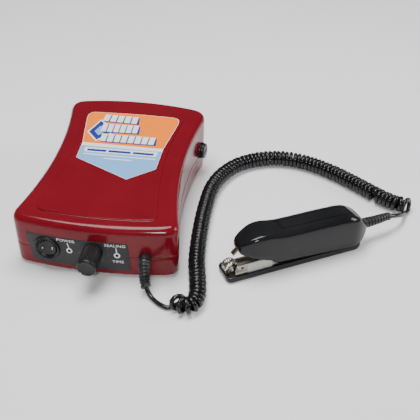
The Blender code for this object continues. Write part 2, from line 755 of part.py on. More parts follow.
def ribbed_radii(route, start_radius, end_radius, ribs, plain_head, plain_tail):
    """Return a radius for each point of a strain relief: a plain head, ribs, and a plain tip."""
    lengths = [0.0]
    for a, b in zip(route, route[1:]):
        lengths.append(lengths[-1] + (b - a).length)
    total = lengths[-1]
    radii = []
    for length in lengths:
        taper = start_radius + (end_radius - start_radius) * length / total
        inside = plain_head < length < total - plain_tail
        phase = (length - plain_head) / (total - plain_head - plain_tail) * ribs
        groove = 0.85 if inside and phase % 1.0 > 0.5 else 0.0
        radii.append(taper - groove)
    return radii


def relief_path(points, ribs, plain_head, plain_tail):
    """Return the points of a strain relief, with two close points at every edge of a rib."""
    fine = even_route(smooth_route(points, 12), 0.05)
    total = sum((b - a).length for a, b in zip(fine, fine[1:]))
    marks = [0.0]
    span = (total - plain_head - plain_tail) / (2 * ribs)
    for k in range(2 * ribs + 1):
        edge = plain_head + k * span
        marks += [edge - 0.12, edge + 0.12]
    marks.append(total)
    route = []
    for mark in marks:
        index = min(len(fine) - 1, max(0, round(mark / total * (len(fine) - 1))))
        route.append(fine[index])
    return route


def boot_tip(lead):
    """Return a boot's end, just short of the lead and square to it, and the point before that."""
    along = (Vector(lead[1]) - Vector(lead[0])).normalized()
    tip = Vector(lead[0]) - along * 1.3 * GAP
    return tip, tip - along * 3.4


def make_unit_strain_relief(top_shell, bottom_shell, rubber, root):
    """The ribbed boot that the cord leaves the power unit through; it droops towards the surface."""
    wall = front_frame(CORD_EXIT_X, PARTING_Z)
    bore = [(4.3, -8.0), (4.3, 8.0)]
    for shell in (top_shell, bottom_shell):
        cut(shell, turned(bore, 20), wall)
    start = wall @ Vector((0, 0, 0.6))
    lean = wall @ Vector((0, -1.2, 7.5))
    tip, before_tip = boot_tip(LEAD_UNIT_ROUTE)
    points = [start, wall @ Vector((0, 0, 2.4)), lean, Vector((46.4, -116.8, 17.0)), before_tip, tip]
    route = relief_path(points, 7, 3.6, 2.6)
    radii = ribbed_radii(route, 5.6, 4.5, 7, 3.6, 2.6)
    boot = add_part("unit_cord_boot", sleeve(route, radii, 14), WORLD, rubber, root)
    neck = [(5.6, -5.4), (5.6, -3.3), (3.9, -3.3), (3.9, 1.2)]
    join(boot, turned(neck, 14), wall)
    return boot


def make_fuse_holder(top_shell, bottom_shell, black, brass, root):
    """The fuse holder in the right wall, its screw cap, and the fuse."""
    wall = side_frame(FUSE_Y, FUSE_Z)
    for shell in (top_shell, bottom_shell):
        cut(shell, turned([(6.5, -8.0), (6.5, 8.0)], 20), wall)
    holder = [(3.4, -26.0), (3.4, 1.9), (8.2, 1.9), (8.2, 0.75), (6.1, 0.75), (6.1, -28.0)]
    add_part("fuse_holder", turned(holder, 20), wall, black, root)
    cap = [(2.9, -5.0), (2.9, 2.2), (FUSE_CAP_RADIUS, 2.2), (FUSE_CAP_RADIUS, 4.0),
           (FUSE_CAP_RADIUS - 0.8, 4.8)]
    lid = add_part("fuse_cap", turned(cap, 20), wall, black, root)
    cut(lid, block((-6.0, -0.7, 3.9), (6.0, 0.7, 6.0)), wall)
    fuse = [(2.5, -25.5), (2.5, -19.5), (2.2, -19.5), (2.2, -11.5), (2.5, -11.5), (2.5, -5.4)]
    add_part("fuse", turned(fuse, 12), wall, brass, root)


def make_mains_inlet(top_shell, bottom_shell, black, steel, root):
    """The mains inlet in the back wall, with three pins in its open socket."""
    wall = back_frame(INLET_X, INLET_Z)
    hole = rounded_rectangle(INLET_HALF_WIDTH + GAP, INLET_HALF_HEIGHT + GAP, 2.0)
    for shell in (top_shell, bottom_shell):
        cut(shell, prism(hole, -8.0, 8.0), wall)
    outer = rounded_rectangle(INLET_HALF_WIDTH, INLET_HALF_HEIGHT, 2.0)
    inner = rounded_rectangle(12.0, 8.2, 2.6)
    flange = rounded_rectangle(INLET_HALF_WIDTH + 2.2, INLET_HALF_HEIGHT + 2.2, 2.6)
    levels = [(inner, -16.0), (inner, 2.2), (flange, 2.2), (flange, 0.9), (outer, 0.9), (outer, -INLET_DEPTH)]
    rings = [[Vector((x, y, z)) for x, y in outline] for outline, z in levels]
    add_part("mains_inlet", loft(rings), wall, black, root)
    for index, (x, y) in enumerate(((0.0, 2.0), (-7.0, -2.0), (7.0, -2.0))):
        pin = prism(rounded_rectangle(1.9, 0.95, 0.4, 2), -15.7, -3.4)
        upright = wall @ Matrix.Translation((x, y, 0)) @ Matrix.Rotation(math.radians(90), 4, "Z")
        add_part(f"inlet_pin_{index + 1}", pin, upright, steel, root)


def make_feet(rubber, root):
    """Four round rubber feet under the case."""
    for index, (x, y) in enumerate(FOOT_PLACES):
        profile = [(5.2, 0.0), (6.0, 0.5), (6.0, CASE_UNDERSIDE - GAP)]
        add_part(f"foot_{index + 1}", turned(profile, 20), Matrix.Translation((x, y, 0)), rubber, root)


def make_case_screws(top_shell, bottom_shell, steel, root):
    """Four screws from below, in posts that meet at the parting line, and four posts for the board."""
    for x in (-38.0, 38.0):
        for y in (-62.0, 20.0):
            post = turned([(3.2, CASE_UNDERSIDE + 1.0), (2.8, BOARD_Z - GAP)], 10)
            join(bottom_shell, post, Matrix.Translation((x, y, 0)))
    for index, (x, y) in enumerate(SCREW_PLACES):
        spot = Matrix.Translation((x, y, 0))
        join(bottom_shell, turned([(4.6, CASE_UNDERSIDE + 1.0), (4.2, PARTING_Z - 1.0)], 14), spot)
        cut(bottom_shell, turned([(1.9, -2.0), (1.9, PARTING_Z + 4.0)], 14), spot)
        cut(bottom_shell, turned([(3.4, -2.0), (3.4, 7.0)], 14), spot)
        roof = CASE_TOP - 1.4 + lift(y - 4.0, CASE_TOP)
        join(top_shell, turned([(4.0, PARTING_Z - 0.4), (4.6, roof)], 14), spot)
        cut(top_shell, turned([(1.8, PARTING_Z - 4.0), (1.8, 40.0)], 14), spot)
        screw = [(1.5, 36.0), (1.5, 6.6), (3.0, 6.6), (3.0, 4.6), (2.4, 4.1)]
        add_part(f"case_screw_{index + 1}", turned(screw, 12), spot, steel, root)


def make_electronics(green, steel, copper, black, root):
    """The generator: board, heat sink, transistors, capacitors, output coil and transformer."""
    top = BOARD_Z + BOARD_THICKNESS
    rest = top + GAP
    board = prism([(-44, -68), (44, -68), (44, 26), (-44, 26)], BOARD_Z, top)
    add_part("main_board", board, WORLD, green, root)
    fins = [(-36, rest), (-14, rest), (-14, rest + 2.5), (-16, rest + 2.5)]
    for k in range(4):
        right = -16.0 - 5.4 * k
        fins += [(right, 38.0), (right - 1.6, 38.0), (right - 1.6, rest + 2.5), (right - 5.4, rest + 2.5)]
    fins = fins[:-1] + [(-36, rest + 2.5)]
    upright = frame((0, 0, 0), Vector((1, 0, 0)), Vector((0, 0, 1)), Vector((0, -1, 0)))
    add_part("heat_sink", prism(fins, -10.0, 44.0), upright, steel, root)
    for index, y in enumerate((-30.0, -8.0)):
        can = block((-13.6, y - 5.0, rest), (-9.0, y + 5.0, rest + 15.0))
        add_part(f"power_transistor_{index + 1}", can, WORLD, black, root)
    for index, y in enumerate((-52.0, -30.0)):
        can = [(7.2, rest), (8.0, rest + 1.2), (8.0, rest + 22.0), (7.4, rest + 23.0)]
        add_part(f"capacitor_{index + 1}", turned(can, 16), Matrix.Translation((16, y, 0)), black, root)
    ring = []
    for k in range(10):
        angle = 2 * math.pi * k / 10
        ring.append((11.0 + 4.6 * math.cos(angle), rest + 4.8 + 4.6 * math.sin(angle)))
    add_part("output_coil", turned(ring, 20, looped=True), Matrix.Translation((18, 4, 0)), copper, root)
    core = block((-42.0, 41.0, 4.5), (-4.0, 81.0, 42.0))
    laminations = add_part("transformer_core", core, WORLD, steel, root)
    for x in (-36.5, -17.5):
        cut(laminations, block((x, 35.0, 12.0), (x + 8.0, 87.0, 34.5)))
    coil = block((-36.1, 35.6, 12.4), (-9.9, 86.4, 34.1))
    winding = add_part("transformer_winding", coil, WORLD, copper, root)
    cut(winding, block((-28.9, 40.6, 6.0), (-17.1, 81.4, 40.0)))


# ---------------------------------------------------------------- handset

def handle_section(s, wall, roof, floor=None):
    """Return one cross-section of the handle, inset by its wall and roof."""
    half = hermite(HANDLE_HALF_WIDTHS, s) - wall
    crown = hermite(HANDLE_CROWN, s) - roof
    shoulder = hermite(HANDLE_SHOULDER, s) - roof
    low = linear(HANDLE_LOWER, s) if floor is None else floor
    reach = min(hermite(HANDLE_REACH, s), half * 0.7)
    rise = crown - HANDLE_DOME - shoulder
    edge = 0.7 if floor is None else 0.0
    side = [(half - edge, low), (half, low + edge)]
    for k in range(5):
        angle = math.pi / 2 * k / 4
        side.append((half - reach + reach * math.cos(angle), shoulder + rise * math.sin(angle)))
    side.append(((half - reach) * 0.45, crown - HANDLE_DOME * 0.2))
    outline = side + [(-t, z) for t, z in reversed(side)]
    return [Vector((s, t, z)) for t, z in outline]


def crown_at(s, t):
    """Return the height of the handle's top at a place near its middle line."""
    flat = hermite(HANDLE_HALF_WIDTHS, s) - hermite(HANDLE_REACH, s)
    return hermite(HANDLE_CROWN, s) - HANDLE_DOME * (t / flat)**2


def top_strip(start, end, half, low, high, steps):
    """Return a strip that follows the handle's top, between two heights measured from its crown."""
    rings = []
    for k in range(steps + 1):
        s = start + (end - start) * k / steps
        ring = []
        for t in (-half, -half / 2, 0.0, half / 2, half):
            ring.append(Vector((s, t, crown_at(s, t) + high)))
        for t in (half, half / 2, 0.0, -half / 2, -half):
            ring.append(Vector((s, t, crown_at(s, t) + low)))
        rings.append(ring)
    return loft(rings)


def make_handle(black, root):
    """The handle's shell, open underneath, and the panel let into its top."""
    shell = add_part("handle_shell", loft([handle_section(s, 0.0, 0.0) for s in HANDLE_STATIONS]),
                     HANDSET, black, root)
    inner = [13.6, 15.5, 18.0, 23.0, 30.0, 37.0, 43.0, 51.0, 72.0, 100.0, 119.0, 126.0, 131.0, 134.4]
    cut(shell, loft([handle_section(s, HANDLE_WALL, HANDLE_ROOF, -4.0) for s in inner]), HANDSET)
    cut(shell, top_strip(47.4, 118.4, 6.3, -1.7, 3.0, 20), HANDSET)
    bore = PIN_RADIUS + GAP
    cut(shell, turned([(bore, -16.0), (bore, 16.0)], 16), across_handset(PIVOT_S, PIVOT_Z))
    cut(shell, turned([(4.4, 128.0), (4.4, 144.0)], 16), along_handset(0.0, 18.6))
    slot = frame((7.0, 0, 22.5), Vector((math.cos(math.radians(43)), 0, math.sin(math.radians(43)))),
                 Vector((0, 1, 0)), Vector((-math.sin(math.radians(43)), 0, math.cos(math.radians(43)))))
    cut(shell, block((-2.0, -3.3, -1.7), (13.0, 3.3, 1.9)), HANDSET @ slot)
    add_part("handle_top_panel", top_strip(49.4, 116.0, 5.9, -1.2, 0.15, 20), HANDSET, black, root)
    return shell


def make_horn(steel, root):
    """The horn: a round shank that narrows and turns down into a flat blade."""
    stations = [(7.0, 22.5, 2.6, 0.85, 43.0), (11.8, 27.0, 2.6, 0.95, 42.0), (15.2, 29.6, 2.7, 1.1, 30.0),
                (19.4, 30.8, 2.9, 1.4, 3.0), (24.0, 30.0, 3.6, 2.4, -16.0), (29.0, 28.3, 5.0, 4.4, -14.0),
                (33.0, 27.2, 6.6, 6.4, -6.0), (35.0, 27.0, 7.0, 7.0, 0.0), (44.0, 27.0, 7.0, 7.0, 0.0)]
    rings = []
    for s, z, half_width, half_height, slope in stations:
        tilt = math.radians(slope)
        up = Vector((-math.sin(tilt), 0, math.cos(tilt)))
        square = 0.35 if half_height < 3.0 else 1.0
        ring = []
        for k in range(16):
            angle = 2 * math.pi * (k + 0.5) / 16
            c, n = math.cos(angle), math.sin(angle)
            reach_t = math.copysign(abs(c)**square, c) * half_width
            reach_z = math.copysign(abs(n)**square, n) * half_height
            ring.append(Vector((s, 0, z)) + Vector((0, 1, 0)) * reach_t + up * reach_z)
        rings.append(ring)
    return add_part("horn", loft(rings), HANDSET, steel, root)


def make_transducer(steel, ceramic, root):
    """The driver behind the horn: two metal masses clamp two piezo rings with a bolt."""
    line = along_handset(0.0, STACK_Z)
    r = STACK_RADIUS
    front = [(2.9, 56.0), (2.9, 62.0), (r, 62.0), (r, 47.0), (r - 0.8, 44.3), (1.5, 44.3), (1.5, 56.0)]
    add_part("transducer_front_mass", turned(front[:5], 20), line, steel, root)
    for index, start in enumerate((62.3, 66.6)):
        ring = [(2.9, start), (r, start), (r, start + 4.0), (2.9, start + 4.0)]
        add_part(f"piezo_ring_{index + 1}", turned(ring, 20, looped=True), line, ceramic, root)
    back = [(2.9, 70.9), (r, 70.9), (r, 90.6), (r - 0.6, 91.2), (2.9, 91.2)]
    add_part("transducer_back_mass", turned(back, 20, looped=True), line, steel, root)
    bolt = [(2.5, 57.0), (2.5, 91.6), (4.6, 91.6), (4.6, 95.6), (4.0, 96.0)]
    add_part("clamp_bolt", turned(bolt, 12), line, steel, root)


def make_chassis(steel, root):
    """The metal plate inside the handle that carries the switch and the spring."""
    plate = add_part("handle_chassis", block((52.0, -9.3, CHASSIS_Z), (112.0, 9.3, CHASSIS_Z + CHASSIS_THICKNESS)),
                     HANDSET, steel, root)
    spot = HANDSET @ Matrix.Translation((PLUNGER_S, 0, 0))
    cut(plate, turned([(1.9, 10.0), (1.9, 20.0)], 12), spot)
    for side in (-1, 1):
        fold = block((56.0, side * 9.3 - 0.7, CHASSIS_Z), (110.0, side * 9.3 + 0.7, CHASSIS_Z + 7.0))
        join(plate, fold, HANDSET @ Matrix.Translation((0, -side * 0.6, 0)))
    return plate


def make_trigger_switch(black, amber, root):
    """The small switch that the arm works as the jaws close, and its sliding plunger."""
    low = CHASSIS_Z + CHASSIS_THICKNESS + GAP
    body = add_part("trigger_switch", block((98.0, -3.2, low), (114.0, 3.2, low + 10.0)), HANDSET, black, root)
    spot = HANDSET @ Matrix.Translation((PLUNGER_S, 0, 0))
    cut(body, turned([(1.6, low - 3.0), (1.6, low + 5.2)], 12), spot)
    slide = add_empty("plunger_axis", spot, root)
    add_part("trigger_plunger", turned([(0.9, 13.3), (1.3, 13.7), (1.3, low + 3.6)], 12), spot, amber, slide)


def make_return_spring(steel, root):
    """The coil spring that opens the jaws."""
    turns, radius, wire = 4.5, 3.2, 0.45
    rise = SPRING_TOP_Z - SPRING_BOTTOM_Z - 2 * wire
    route = []
    count = int(turns * 12)
    for k in range(count + 1):
        angle = 2 * math.pi * turns * k / count
        route.append(Vector((radius * math.cos(angle), radius * math.sin(angle),
                             SPRING_BOTTOM_Z + wire + rise * k / count)))
    spot = HANDSET @ Matrix.Translation((SPRING_S, 0, 0))
    return add_part("return_spring", sleeve(route, [wire] * len(route), 6), spot, steel, root)


def arm_outline(inset):
    """Return the arm's plan outline, with small front corners and large rear corners."""
    front, rear = ARM_FRONT_S + inset, ARM_REAR_S - inset
    half = ARM_HALF_WIDTH - inset
    small, large = 4.5 - inset * 0.5, 9.0 - inset * 0.5
    points = []
    for cx, cy, radius, turn in ((rear - large, half - large, large, 0), (front + small, half - small, small, 1),
                                 (front + small, small - half, small, 2), (rear - large, large - half, large, 3)):
        for k in range(5):
            angle = math.pi / 2 * (turn + k / 4)
            points.append(Vector((cx + radius * math.cos(angle), cy + radius * math.sin(angle), 0)))
        if turn in (0, 2):
            goal = front + small if turn == 0 else rear - large
            for k in range(1, 6):
                points.append(Vector((points[-1].x + (goal - points[-1].x) * k / 6, points[-1].y, 0)))
    return points


def arm_ring(inset, height):
    """Return one ring of the arm; height is a number or a function of s."""
    ring = []
    for point in arm_outline(inset):
        z = height(point.x) if callable(height) else height
        ring.append(Vector((point.x, point.y, z)))
    return ring


def make_arm(black, parent):
    """The lower arm: a long tray with two ears round the pivot and a post that works the switch."""
    def lip(s):
        return linear(ARM_LIP, s)

    def low_lip(s):
        return linear(ARM_LIP, s) - 0.5

    def underside(s):
        return 0.9 if s > PIVOT_S else 0.0

    rings = [arm_ring(ARM_WALL, 2.0), arm_ring(ARM_WALL, low_lip), arm_ring(ARM_WALL - 0.4, lip),
             arm_ring(0.4, lip), arm_ring(0.0, low_lip), arm_ring(0.0, 1.6), arm_ring(0.9, underside)]
    arm = add_part("lower_arm", loft(rings), HANDSET, black, parent)
    for side in (-1, 1):
        ear = [(112.0, 1.2), (127.0, 1.2), (127.0, 9.5), (125.6, 12.6), (122.8, 14.2), (119.2, 14.2),
               (116.4, 12.6), (114.4, 9.0)]
        upright = HANDSET @ frame((0, 0, 0), Vector((1, 0, 0)), Vector((0, 0, 1)), Vector((0, -1, 0)))
        join(arm, prism(ear, side * 8.0 - 1.1, side * 8.0 + 1.1), upright)
    bore = PIN_RADIUS + GAP
    cut(arm, turned([(bore, -11.0), (bore, 11.0)], 16), across_handset(PIVOT_S, PIVOT_Z))
    join(arm, block((102.0, -3.0, 1.2), (106.0, 3.0, 13.0)), HANDSET)
    return arm


def make_anvil(steel, chrome, parent):
    """The metal bracket at the tip of the arm, and the anvil wheel on its pin."""
    def section(s):
        flanges = [(-9.6, 2.3), (9.6, 2.3), (9.6, 7.4), (8.4, 7.4),
                   (8.4, 3.5), (-8.4, 3.5), (-8.4, 15.8), (-9.6, 15.8)]
        return [Vector((s, t, z)) for t, z in flanges]

    bracket = add_part("anvil_bracket", loft([section(6.4), section(48.0)]), HANDSET, steel, parent)
    toe = [(0.7, -5.0), (1.6, -7.6), (3.8, -9.2), (7.0, -9.6), (12.0, -9.6), (12.0, 9.6), (7.0, 9.6), (3.8, 9.2),
           (1.6, 7.6), (0.7, 5.0)]
    join(bracket, prism(toe, 2.3, 3.5), HANDSET)
    upright = HANDSET @ frame((0, 0, 0), Vector((1, 0, 0)), Vector((0, 0, 1)), Vector((0, -1, 0)))
    for side in (-1, 1):
        ear = [(1.8, 3.0), (8.2, 3.0), (8.2, 10.1), (7.2, 12.4), (5.0, 13.3), (2.8, 12.4), (1.8, 10.1)]
        join(bracket, prism(ear, side * 5.6 - 0.6, side * 5.6 + 0.6), upright)
    axle = across_handset(ANVIL_S, ANVIL_Z)
    cut(bracket, turned([(1.8, -8.2), (1.8, 8.2)], 12), axle)
    cut(bracket, turned([(1.3, 4.0), (1.3, 14.0)], 12), across_handset(14.6, 11.0)
        @ Matrix.Rotation(math.radians(180), 4, "X"))
    spin = add_empty("anvil_axis", axle, parent)
    wheel = [(1.8, -ANVIL_HALF_WIDTH), (ANVIL_RADIUS - 0.5, -ANVIL_HALF_WIDTH), (ANVIL_RADIUS, -ANVIL_HALF_WIDTH + 0.5),
             (ANVIL_RADIUS, -0.6), (ANVIL_RADIUS - 0.6, 0.0), (ANVIL_RADIUS, 0.6),
             (ANVIL_RADIUS, ANVIL_HALF_WIDTH - 0.5), (ANVIL_RADIUS - 0.5, ANVIL_HALF_WIDTH), (1.8, ANVIL_HALF_WIDTH)]
    add_part("anvil_wheel", turned(wheel, 24, looped=True), axle, chrome, spin)
    add_part("anvil_pin", turned([(1.1, -7.3), (1.5, -6.9), (1.5, 6.9), (1.1, 7.3)], 12), axle, steel, parent)
    return bracket


def make_pivot_pin(steel, root):
    pin = [(PIN_RADIUS - 0.4, -13.1), (PIN_RADIUS, -12.7), (PIN_RADIUS, 12.7), (PIN_RADIUS - 0.4, 13.1)]
    return add_part("pivot_pin", turned(pin, 16), across_handset(PIVOT_S, PIVOT_Z), steel, root)


def make_handset_strain_relief(rubber, root):
    """The ribbed boot at the handle's tail."""
    tip, before_tip = [HANDSET.inverted() @ point for point in boot_tip(LEAD_HANDSET_ROUTE)]
    points = [(137.2, 0.0, 18.6), (146.0, 0.15, 18.6), (154.0, 0.9, 18.2), before_tip, tip]
    route = relief_path(points, 6, 1.4, 2.6)
    radii = ribbed_radii(route, 5.1, 3.6, 6, 1.4, 2.6)
    boot = add_part("handset_cord_boot", sleeve(route, radii, 14), HANDSET, rubber, root)
    neck = [(4.8, 130.0), (4.8, 132.2), (4.0, 132.2), (4.0, 138.4)]
    join(boot, turned(neck, 14), along_handset(0.0, 18.6))
    return boot


# ---------------------------------------------------------------- cord

def add_cord(name, points, diameter, spacing, resolution, rubber, root):
    """Add a stretch of the cord as a filled tube along a smooth curve through its points."""
    curve = bpy.data.curves.new(name, "CURVE")
    curve.dimensions = "3D"
    curve.bevel_depth = diameter / 2 * MM
    curve.bevel_resolution = resolution
    curve.use_fill_caps = True
    route = even_route(smooth_route(points, 16), spacing)
    spline = curve.splines.new("POLY")
    spline.points.add(len(route) - 1)
    for point, place_on_route in zip(spline.points, route):
        point.co = (*(place_on_route * MM), 1.0)
    curve.materials.append(rubber)
    cord = bpy.data.objects.new(name, curve)
    bpy.context.collection.objects.link(cord)
    place(cord, WORLD, root)
    return cord


def make_cord(rubber, root):
    """The curly cord: two plain leads and, between them, one tube of the coil's outer diameter."""
    add_cord("cord_lead_unit", LEAD_UNIT_ROUTE, CABLE_DIAMETER, 5.0, 3, rubber, root)
    coil = [(x, y, COIL_Z) for x, y in COIL_ROUTE]
    add_cord("cord_coil", coil, COIL_DIAMETER, 10.0, 3, rubber, root)
    add_cord("cord_lead_handset", LEAD_HANDSET_ROUTE, CABLE_DIAMETER, 5.0, 3, rubber, root)


def build():
    clear_scene()
    red = material("case_red", (0.28, 0.02, 0.035), 0.28)
    charcoal = material("panel_charcoal", (0.04, 0.04, 0.042), 0.5)
    black = material("black_plastic", (0.012, 0.012, 0.013), 0.25)
    rubber = material("black_rubber", (0.015, 0.015, 0.016), 0.5)
    steel = material("bright_steel", (0.6, 0.59, 0.55), 0.35, 1.0)
    chrome = material("chrome", (0.75, 0.75, 0.74), 0.12, 1.0)
    brass = material("brass", (0.7, 0.5, 0.25), 0.35, 1.0)
    copper = material("copper_wire", (0.6, 0.25, 0.12), 0.45, 0.6)
    green = material("board_green", (0.03, 0.16, 0.07), 0.5)
    ceramic = material("ceramic", (0.75, 0.72, 0.62), 0.55)
    paper = material("label_print", (0.95, 0.45, 0.12), 0.4)
    lens = material("lamp_lens", (0.08, 0.02, 0.02), 0.2)
    amber = material("plunger_amber", (0.7, 0.3, 0.05), 0.45)

    unit = add_empty("power_unit", WORLD)
    handset = add_empty("handset", HANDSET)
    jaw = add_empty("jaw_axis", across_handset(PIVOT_S, PIVOT_Z), handset)

    top_shell = make_top_shell(red)
    bottom_shell = make_bottom_shell(red)
    make_front_panel(top_shell, bottom_shell, charcoal)
    make_unit_strain_relief(top_shell, bottom_shell, rubber, unit)
    make_fuse_holder(top_shell, bottom_shell, black, brass, unit)
    make_mains_inlet(top_shell, bottom_shell, black, steel, unit)
    make_case_screws(top_shell, bottom_shell, steel, unit)
    make_label(paper)
    make_rocker_switch(black, unit)
    make_time_dial(black, steel, brass, unit)
    make_lamps(lens, unit)
    make_feet(rubber, unit)
    make_electronics(green, steel, copper, black, unit)

    make_handle(black, handset)
    make_horn(steel, handset)
    make_transducer(steel, ceramic, handset)
    make_chassis(steel, handset)
    make_trigger_switch(black, amber, handset)
    make_return_spring(steel, handset)
    make_pivot_pin(steel, handset)
    make_handset_strain_relief(rubber, handset)
    make_arm(black, jaw)
    make_anvil(steel, chrome, jaw)
    make_cord(rubber, unit)


build()
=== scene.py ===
"""The looks of the hand-held ultrasonic film sealer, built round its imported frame.

Lengths are in millimetres and MM turns them into metres. The world frame is the CAD model's: the origin
is near the middle of the power unit's base, +X right seen from the front, +Y back, +Z up. The handset has
its own frame, with s from its nose to its tail, t to its left and z up.
"""
from math import copysign, cos, degrees, pi, radians, sin

import bmesh
import bpy
from mathutils import Matrix, Vector


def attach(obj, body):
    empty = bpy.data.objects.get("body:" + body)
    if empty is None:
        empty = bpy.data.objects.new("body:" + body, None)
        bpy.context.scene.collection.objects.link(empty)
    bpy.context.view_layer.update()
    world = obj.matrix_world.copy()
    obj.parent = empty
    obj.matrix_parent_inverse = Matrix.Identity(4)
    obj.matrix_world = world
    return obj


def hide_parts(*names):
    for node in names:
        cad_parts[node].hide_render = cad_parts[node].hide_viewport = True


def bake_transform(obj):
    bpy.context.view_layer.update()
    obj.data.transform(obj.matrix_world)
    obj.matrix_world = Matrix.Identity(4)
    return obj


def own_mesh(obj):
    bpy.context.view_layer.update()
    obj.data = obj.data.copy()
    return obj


MM = 0.001
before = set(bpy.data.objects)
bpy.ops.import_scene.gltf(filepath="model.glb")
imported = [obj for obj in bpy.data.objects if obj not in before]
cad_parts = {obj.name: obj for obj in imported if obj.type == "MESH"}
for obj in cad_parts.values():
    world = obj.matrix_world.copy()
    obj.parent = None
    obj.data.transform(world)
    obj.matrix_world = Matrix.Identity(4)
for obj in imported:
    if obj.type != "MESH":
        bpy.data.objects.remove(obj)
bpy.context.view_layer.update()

CASE_HALF_WIDTH = 75.0
CASE_HALF_DEPTH = 99.5
CASE_REAR_HALF_WIDTH = 69.6
CASE_REAR_DEPTH = 85.2
CASE_BULGE = 8.0
CASE_REAR_BULGE = 9.3
CASE_WAIST = 11.5
CASE_CORNER = 14.0
CASE_WALL = 2.5
CASE_DRAFT = 1.2
CASE_UNDERSIDE = 1.5
CASE_TOP = 51.5
TOP_SLOPE = 0.0508
TOP_EDGE_RADIUS = 7.0
LOW_EDGE_RADIUS = 3.0
PARTING_Z = 22.5
PARTING_HALF_GROOVE = 0.12
SIDE_STEPS = 26
CORNER_STEPS = 10
PAD_RISE = 1.0
PAD_FRONT_INSET = 13.6
PAD_SIDE_INSET = 17.0
PAD_SIDE_TAPER = -1.2
PAD_BACK_Y = 69.5
PAD_BACK_BULGE = 8.0
PAD_CORNER = 9.0
LABEL_SIDES = [(-20.1, 37.9), (11.0, 38.6), (33.7, 42.2), (53.8, 45.1)]
LABEL_LEFT_LOW_Y = -12.9
LABEL_TIP = (14.9, -38.9)
LABEL_TOP_Y = 65.0
CONTROLS_Z = 24.0
KNOB_Z = 27.5
ROCKER_X = -40.5
POWER_LED_X = -20.6
KNOB_X = 0.8
TIME_LED_X = 21.0
CORD_EXIT_X = 44.6
PANEL_LEFT_TOP = -59.3
PANEL_LEFT_LOW = -54.8
PANEL_RIGHT_TOP = 30.4
PANEL_RIGHT_LOW = 32.6
PANEL_TOP_Z = 37.0
PANEL_LOW_Z = 7.4
PANEL_CORNER = 2.5
PANEL_PROUD = 0.25
PRINT_THICKNESS = 0.12
ROCKER_TILT = 9.0
KNOB_RADIUS = 8.6
KNOB_LENGTH = 24.6
KNOB_FLUTES = 26
DOTS_HALF_WIDTH = 12.9
DOTS_HALF_HEIGHT = 12.0
FUSE_Y = 66.6
FUSE_Z = 25.0
FUSE_CAP_RADIUS = 7.6
NOTCH_Y = 53.4
NOTCH_Z = 16.3
NOTCH_TURN = -51.0
INLET_X = 22.0
INLET_Z = 29.0
INLET_HALF_WIDTH = 13.8
INLET_HALF_HEIGHT = 10.0
SCREW_PLACES = [(-51.0, -60.0), (51.0, -60.0), (-51.0, 54.0), (51.0, 40.0)]
FOOT_PLACES = [(-50.0, -80.0), (50.0, -80.0), (-48.0, 66.0), (48.0, 66.0)]

HANDSET_ORIGIN = (110.7, -90.6, 0.0)
HANDSET_YAW = 31.0
HANDLE_WALL = 2.0
HANDLE_ROOF = 3.0
HANDLE_DOME = 0.3
SHOULDER_STEPS = 10
PANEL_GROOVE = 0.5
PANEL_GROOVE_ENDS = (47.6, 118.6)
BAND_DEPTH = 0.75
BAND_EDGE = 0.4
BANDS = [(47.4, 51.4), (115.6, 119.0)]
BLADE_RISE = 43.0
ARM_HALF_WIDTH = 12.0
ARM_FRONT_S = -1.6
ARM_REAR_S = 132.0
ARM_WALL = 1.8
PIVOT_S = 121.0
PIVOT_Z = 9.5
ANVIL_S = 5.0
ANVIL_Z = 10.1
ANVIL_RADIUS = 6.2
SPRING_S = 82.0
SPRING_BOTTOM_Z = 2.6
SPRING_TOP_Z = 15.1

CABLE_DIAMETER = 4.1
COIL_DIAMETER = 15.6
COIL_Z = 7.85
COIL_PITCH = 4.25
COIL_LOOSE_END = 9.0
COIL_REVERSE_FROM_END = 34.0
COIL_REVERSE_RAMP = 2.4
POINTS_PER_TURN = 16

HANDLE_CROWN = [(11.2, 33.2), (12.0, 34.8), (14.0, 36.6), (17.0, 38.4), (22.0, 40.8), (27.0, 42.2),
                (32.0, 42.7), (37.0, 42.7), (41.0, 42.4), (47.0, 41.9), (54.0, 41.6), (66.0, 41.4),
                (91.0, 41.0), (108.0, 40.3), (114.0, 39.5), (118.0, 38.4), (121.0, 37.0), (125.0, 34.6),
                (128.0, 32.2), (131.0, 29.0), (134.0, 25.4), (136.6, 22.2)]
HANDLE_SHOULDER = [(11.2, 31.4), (12.0, 32.4), (14.0, 33.7), (17.0, 35.2), (22.0, 37.0), (27.0, 38.0),
                   (32.0, 38.2), (37.0, 37.6), (41.0, 36.8), (47.0, 35.3), (54.0, 34.3), (78.0, 34.1),
                   (108.0, 33.6), (116.0, 33.0), (121.0, 29.8), (125.0, 26.8), (129.0, 23.8),
                   (133.0, 21.0), (136.6, 19.2)]
HANDLE_LOWER = [(11.2, 26.5), (12.8, 25.3), (20.0, 22.3), (36.0, 16.6), (40.5, 15.2), (42.5, 11.8),
                (66.0, 10.4), (90.0, 8.8), (118.0, 6.7), (125.0, 7.1), (131.0, 10.0), (134.5, 13.2),
                (136.6, 15.6)]
HANDLE_HALF_WIDTHS = [(11.2, 6.4), (12.2, 7.6), (14.0, 8.6), (17.0, 9.9), (20.0, 10.9), (24.0, 12.2),
                      (30.0, 13.3), (36.0, 13.6), (118.0, 13.6), (122.0, 13.4), (126.0, 12.5),
                      (129.0, 11.3), (132.0, 9.6), (134.5, 7.7), (136.6, 5.8)]
HANDLE_REACH = [(11.2, 1.8), (14.0, 3.0), (20.0, 4.0), (36.0, 4.2), (46.0, 6.5), (54.0, 7.4),
                (112.0, 7.4), (122.0, 6.6), (130.0, 4.6), (136.6, 2.8)]
ARM_LIP = [(-2.0, 5.6), (4.0, 6.0), (85.0, 6.2), (118.0, 5.2), (133.0, 5.0)]
